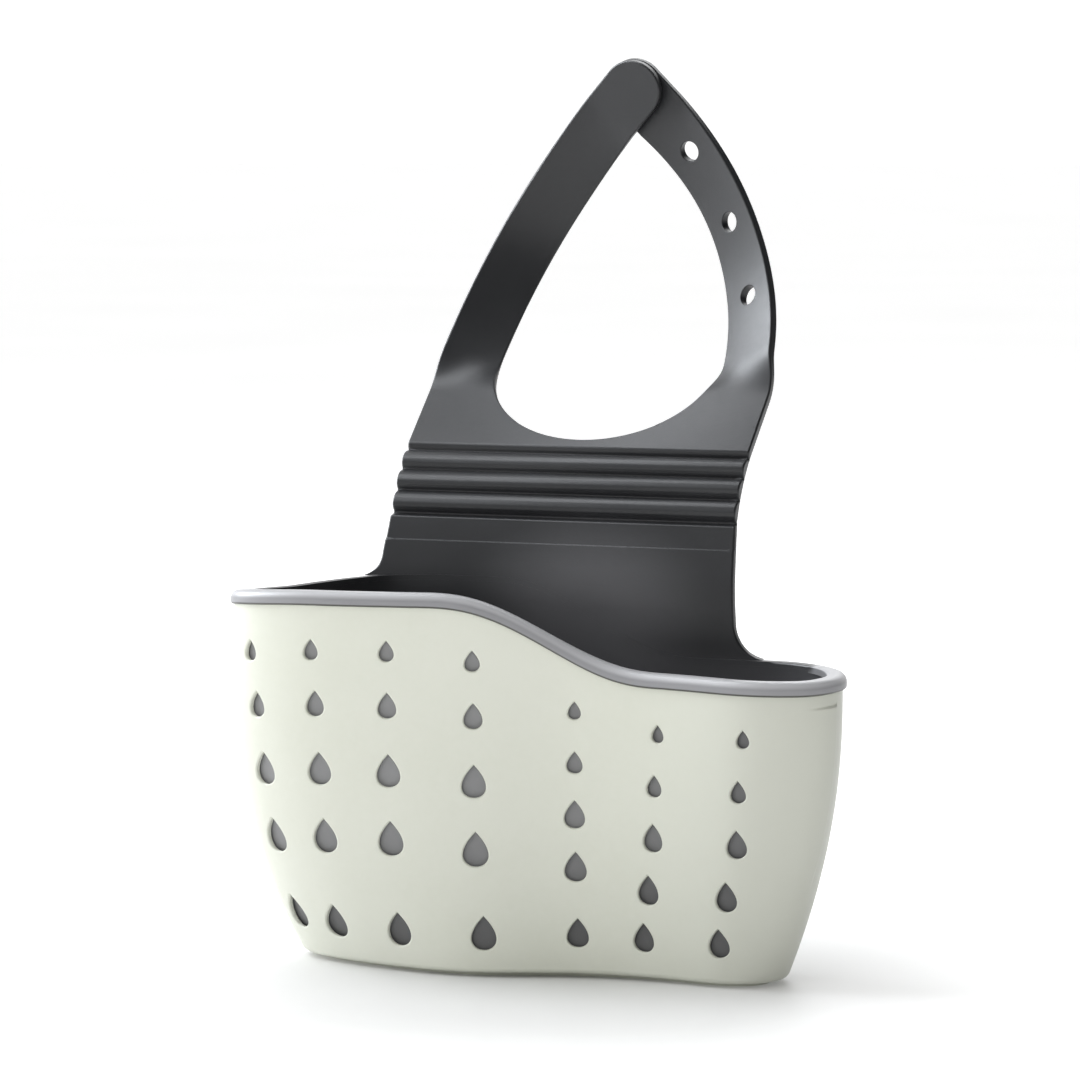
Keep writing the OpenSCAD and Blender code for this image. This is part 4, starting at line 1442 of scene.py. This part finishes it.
studio = {
    "floorColour": (0.70, 0.70, 0.695, 1),
    "floorRough": 0.5,
    "floorBump": 0.00002,
    "floorRings": (0.4, 1.5, 5.0, 18.0),
    "floorGlow": (0.6, 0.6, 0.6, 1),  # the floor is lit to white away from the piece
    "glowReach": (0.0, 0.24),
    "farGlow": (0.67, 0.67, 0.67, 1),
    "farReach": (0.4, 1.4),
    "leftWay": (-0.928, -0.373, 0.0),
    "behindWay": (-0.373, 0.928, 0.0),
    "behind": 1.12,  # brightness of the white backdrop, and of the room at the left
    "left": 0.5,
    "behindSpread": (0.45, 0.85),
    "leftSpread": (0.1, 0.8),
    "lights": [
        # name, place, aim, size, power, colour, seen in gloss, lights matte surfaces
        ("leftKey", (-1.31, -0.044, 1.038), (0, 0, 0.12), 0.9, 13.0, (0.92, 0.955, 1.0), True, True),
        ("leftSheen", (-1.386, 0.002, 0.92), (0, 0, 0.12), 0.8, 22.0, (0.90, 0.945, 1.0), True, False),
        ("leftLow", (-1.564, -0.19, 0.398), (0, 0, 0.12), 0.8, 5.2, (0.93, 0.96, 1.0), True, True),
        ("leftHigh", (-0.746, -0.091, 1.533), (0, 0, 0.12), 0.9, 6.5, (0.94, 0.965, 1.0), True, True),
        ("frontLow", (0.213, -1.538, 0.507), (0, 0, 0.12), 0.9, 3.82, (1.0, 1.0, 0.985), False, True),
        ("front", (0.077, -1.129, 1.251), (0, 0, 0.12), 0.9, 4.2, (1.0, 1.0, 0.985), False, True),
        ("right", (1.489, -0.211, 0.667), (0, 0, 0.12), 0.9, 1.1, (1.0, 1.0, 0.985), False, True),
        ("overhead", (0.005, -0.157, 1.913), (0, 0, 0.12), 1.6, 7.24, (1.0, 1.0, 1.0), False, True),
        ("nearHigh", (-0.127, 0.024, 0.53), (0.045, 0.06, 0.17), 0.16, 0.35, (0.94, 0.965, 1.0), True, False),
        ("behind", (-0.148, 1.217, 1.148), (0, 0, 0.12), 0.9, 6.62, (0.97, 0.985, 1.0), True, True),
    ],
}


def makeFloor():
    material, root, spot = newMaterial("pale studio floor")
    cloud = noise(spot, 3.0, 3.0, 0.5)
    grain = noise(spot, 900.0, 2.0, 0.6)
    tone = [c * 0.985 for c in studio["floorColour"][:3]] + [1]
    colour = cloud.colour(studio["floorColour"], tuple(tone))
    away = root.node("ShaderNodeVectorMath", {"operation": "LENGTH"}, {0: spot}, output=1)
    glow = away.ramp(*studio["glowReach"]).colour((0, 0, 0, 1), studio["floorGlow"])
    glow = away.ramp(*studio["farReach"]).colour(glow, studio["farGlow"])
    settings = {"Specular IOR Level": 0.3, "Emission Color": glow, "Emission Strength": 1.0}
    rough = studio["floorRough"] + (cloud - 0.5) * 0.1
    finishMaterial(root, colour, rough, grain, studio["floorBump"], settings)
    count = 96
    turn = 2 * math.pi * np.arange(count) / count
    circle = np.stack([np.cos(turn), np.sin(turn), np.zeros(count)], axis=1)
    rings = [r * circle for r in studio["floorRings"]]
    faces = [list(range(count))]
    for k in range(len(rings) - 1):
        for i in range(count):
            j = (i + 1) % count
            faces.append([k * count + i, (k + 1) * count + i, (k + 1) * count + j, k * count + j])
    mesh = bpy.data.meshes.new("studioFloor")
    mesh.from_pydata(np.vstack(rings).tolist(), [], faces)
    mesh.materials.append(material)
    piece = bpy.data.objects.new("studioFloor", mesh)
    bpy.context.scene.collection.objects.link(piece)


def aimed(place, aim):
    back = unit(np.array(place, float) - np.array(aim, float))
    right = unit(across(np.array([0.0, 0.0, 1.0]), back))
    up = across(back, right)
    turn = Matrix([list(row) for row in np.stack([right, up, back], axis=1)]).to_4x4()
    turn.translation = place
    return turn


def makeLights():
    for name, place, aim, size, power, colour, glossy, matte in studio["lights"]:
        data = bpy.data.lights.new(name, "AREA")
        data.size = size
        data.energy = power
        data.color = colour
        light = bpy.data.objects.new(name, data)
        light.matrix_world = aimed(place, aim)
        light.visible_camera = False
        light.visible_glossy = glossy
        light.visible_diffuse = matte
        bpy.context.scene.collection.objects.link(light)
    world = bpy.data.worlds.new("studio")
    world.use_nodes = True
    world.node_tree.nodes.clear()
    root = Wire(world.node_tree)
    way = root.node("ShaderNodeTexCoord")
    dot = {"operation": "DOT_PRODUCT"}
    behind = root.node("ShaderNodeVectorMath", dot, {0: way, 1: studio["behindWay"]}, output=1)
    left = root.node("ShaderNodeVectorMath", dot, {0: way, 1: studio["leftWay"]}, output=1)
    behind = behind.ramp(*studio["behindSpread"]) * studio["behind"]
    strength = behind + left.ramp(*studio["leftSpread"]) * studio["left"]
    seen = root.node("ShaderNodeLightPath")
    strength = strength * (1 - seen) + seen * studio["behind"]
    glow = root.node("ShaderNodeBackground", {}, {"Color": (1.0, 1.0, 1.0, 1), "Strength": strength})
    root.node("ShaderNodeOutputWorld", {}, {"Surface": glow})
    bpy.context.scene.world = world
    bpy.context.scene.view_settings.view_transform = "Standard"


view = {
    "azimuth": 21.92,
    "elevation": 5.107,
    "distance": 1.498,
    "target": (-0.001664, 0.0, 0.1309),
    "focalPixels": 4967,  # focal length in pixels of the photo, which is framePixels wide
    "framePixels": 1080,
    "sensor": 36,
}


def makeCamera():
    a = math.radians(view["azimuth"])
    e = math.radians(view["elevation"])
    back = np.array([math.sin(a) * math.cos(e), -math.cos(a) * math.cos(e), math.sin(e)])
    place = np.array(view["target"]) + view["distance"] * back
    data = bpy.data.cameras.new("view")
    data.sensor_width = view["sensor"]
    data.sensor_fit = "HORIZONTAL"
    data.lens = view["focalPixels"] / view["framePixels"] * view["sensor"]
    data.clip_end = 50
    camera = bpy.data.objects.new("view", data)
    camera.matrix_world = aimed(place.tolist(), view["target"])
    bpy.context.scene.collection.objects.link(camera)
    bpy.context.scene.camera = camera


makeFloor()
makeLights()
makeCamera()

print("stage 13: done")
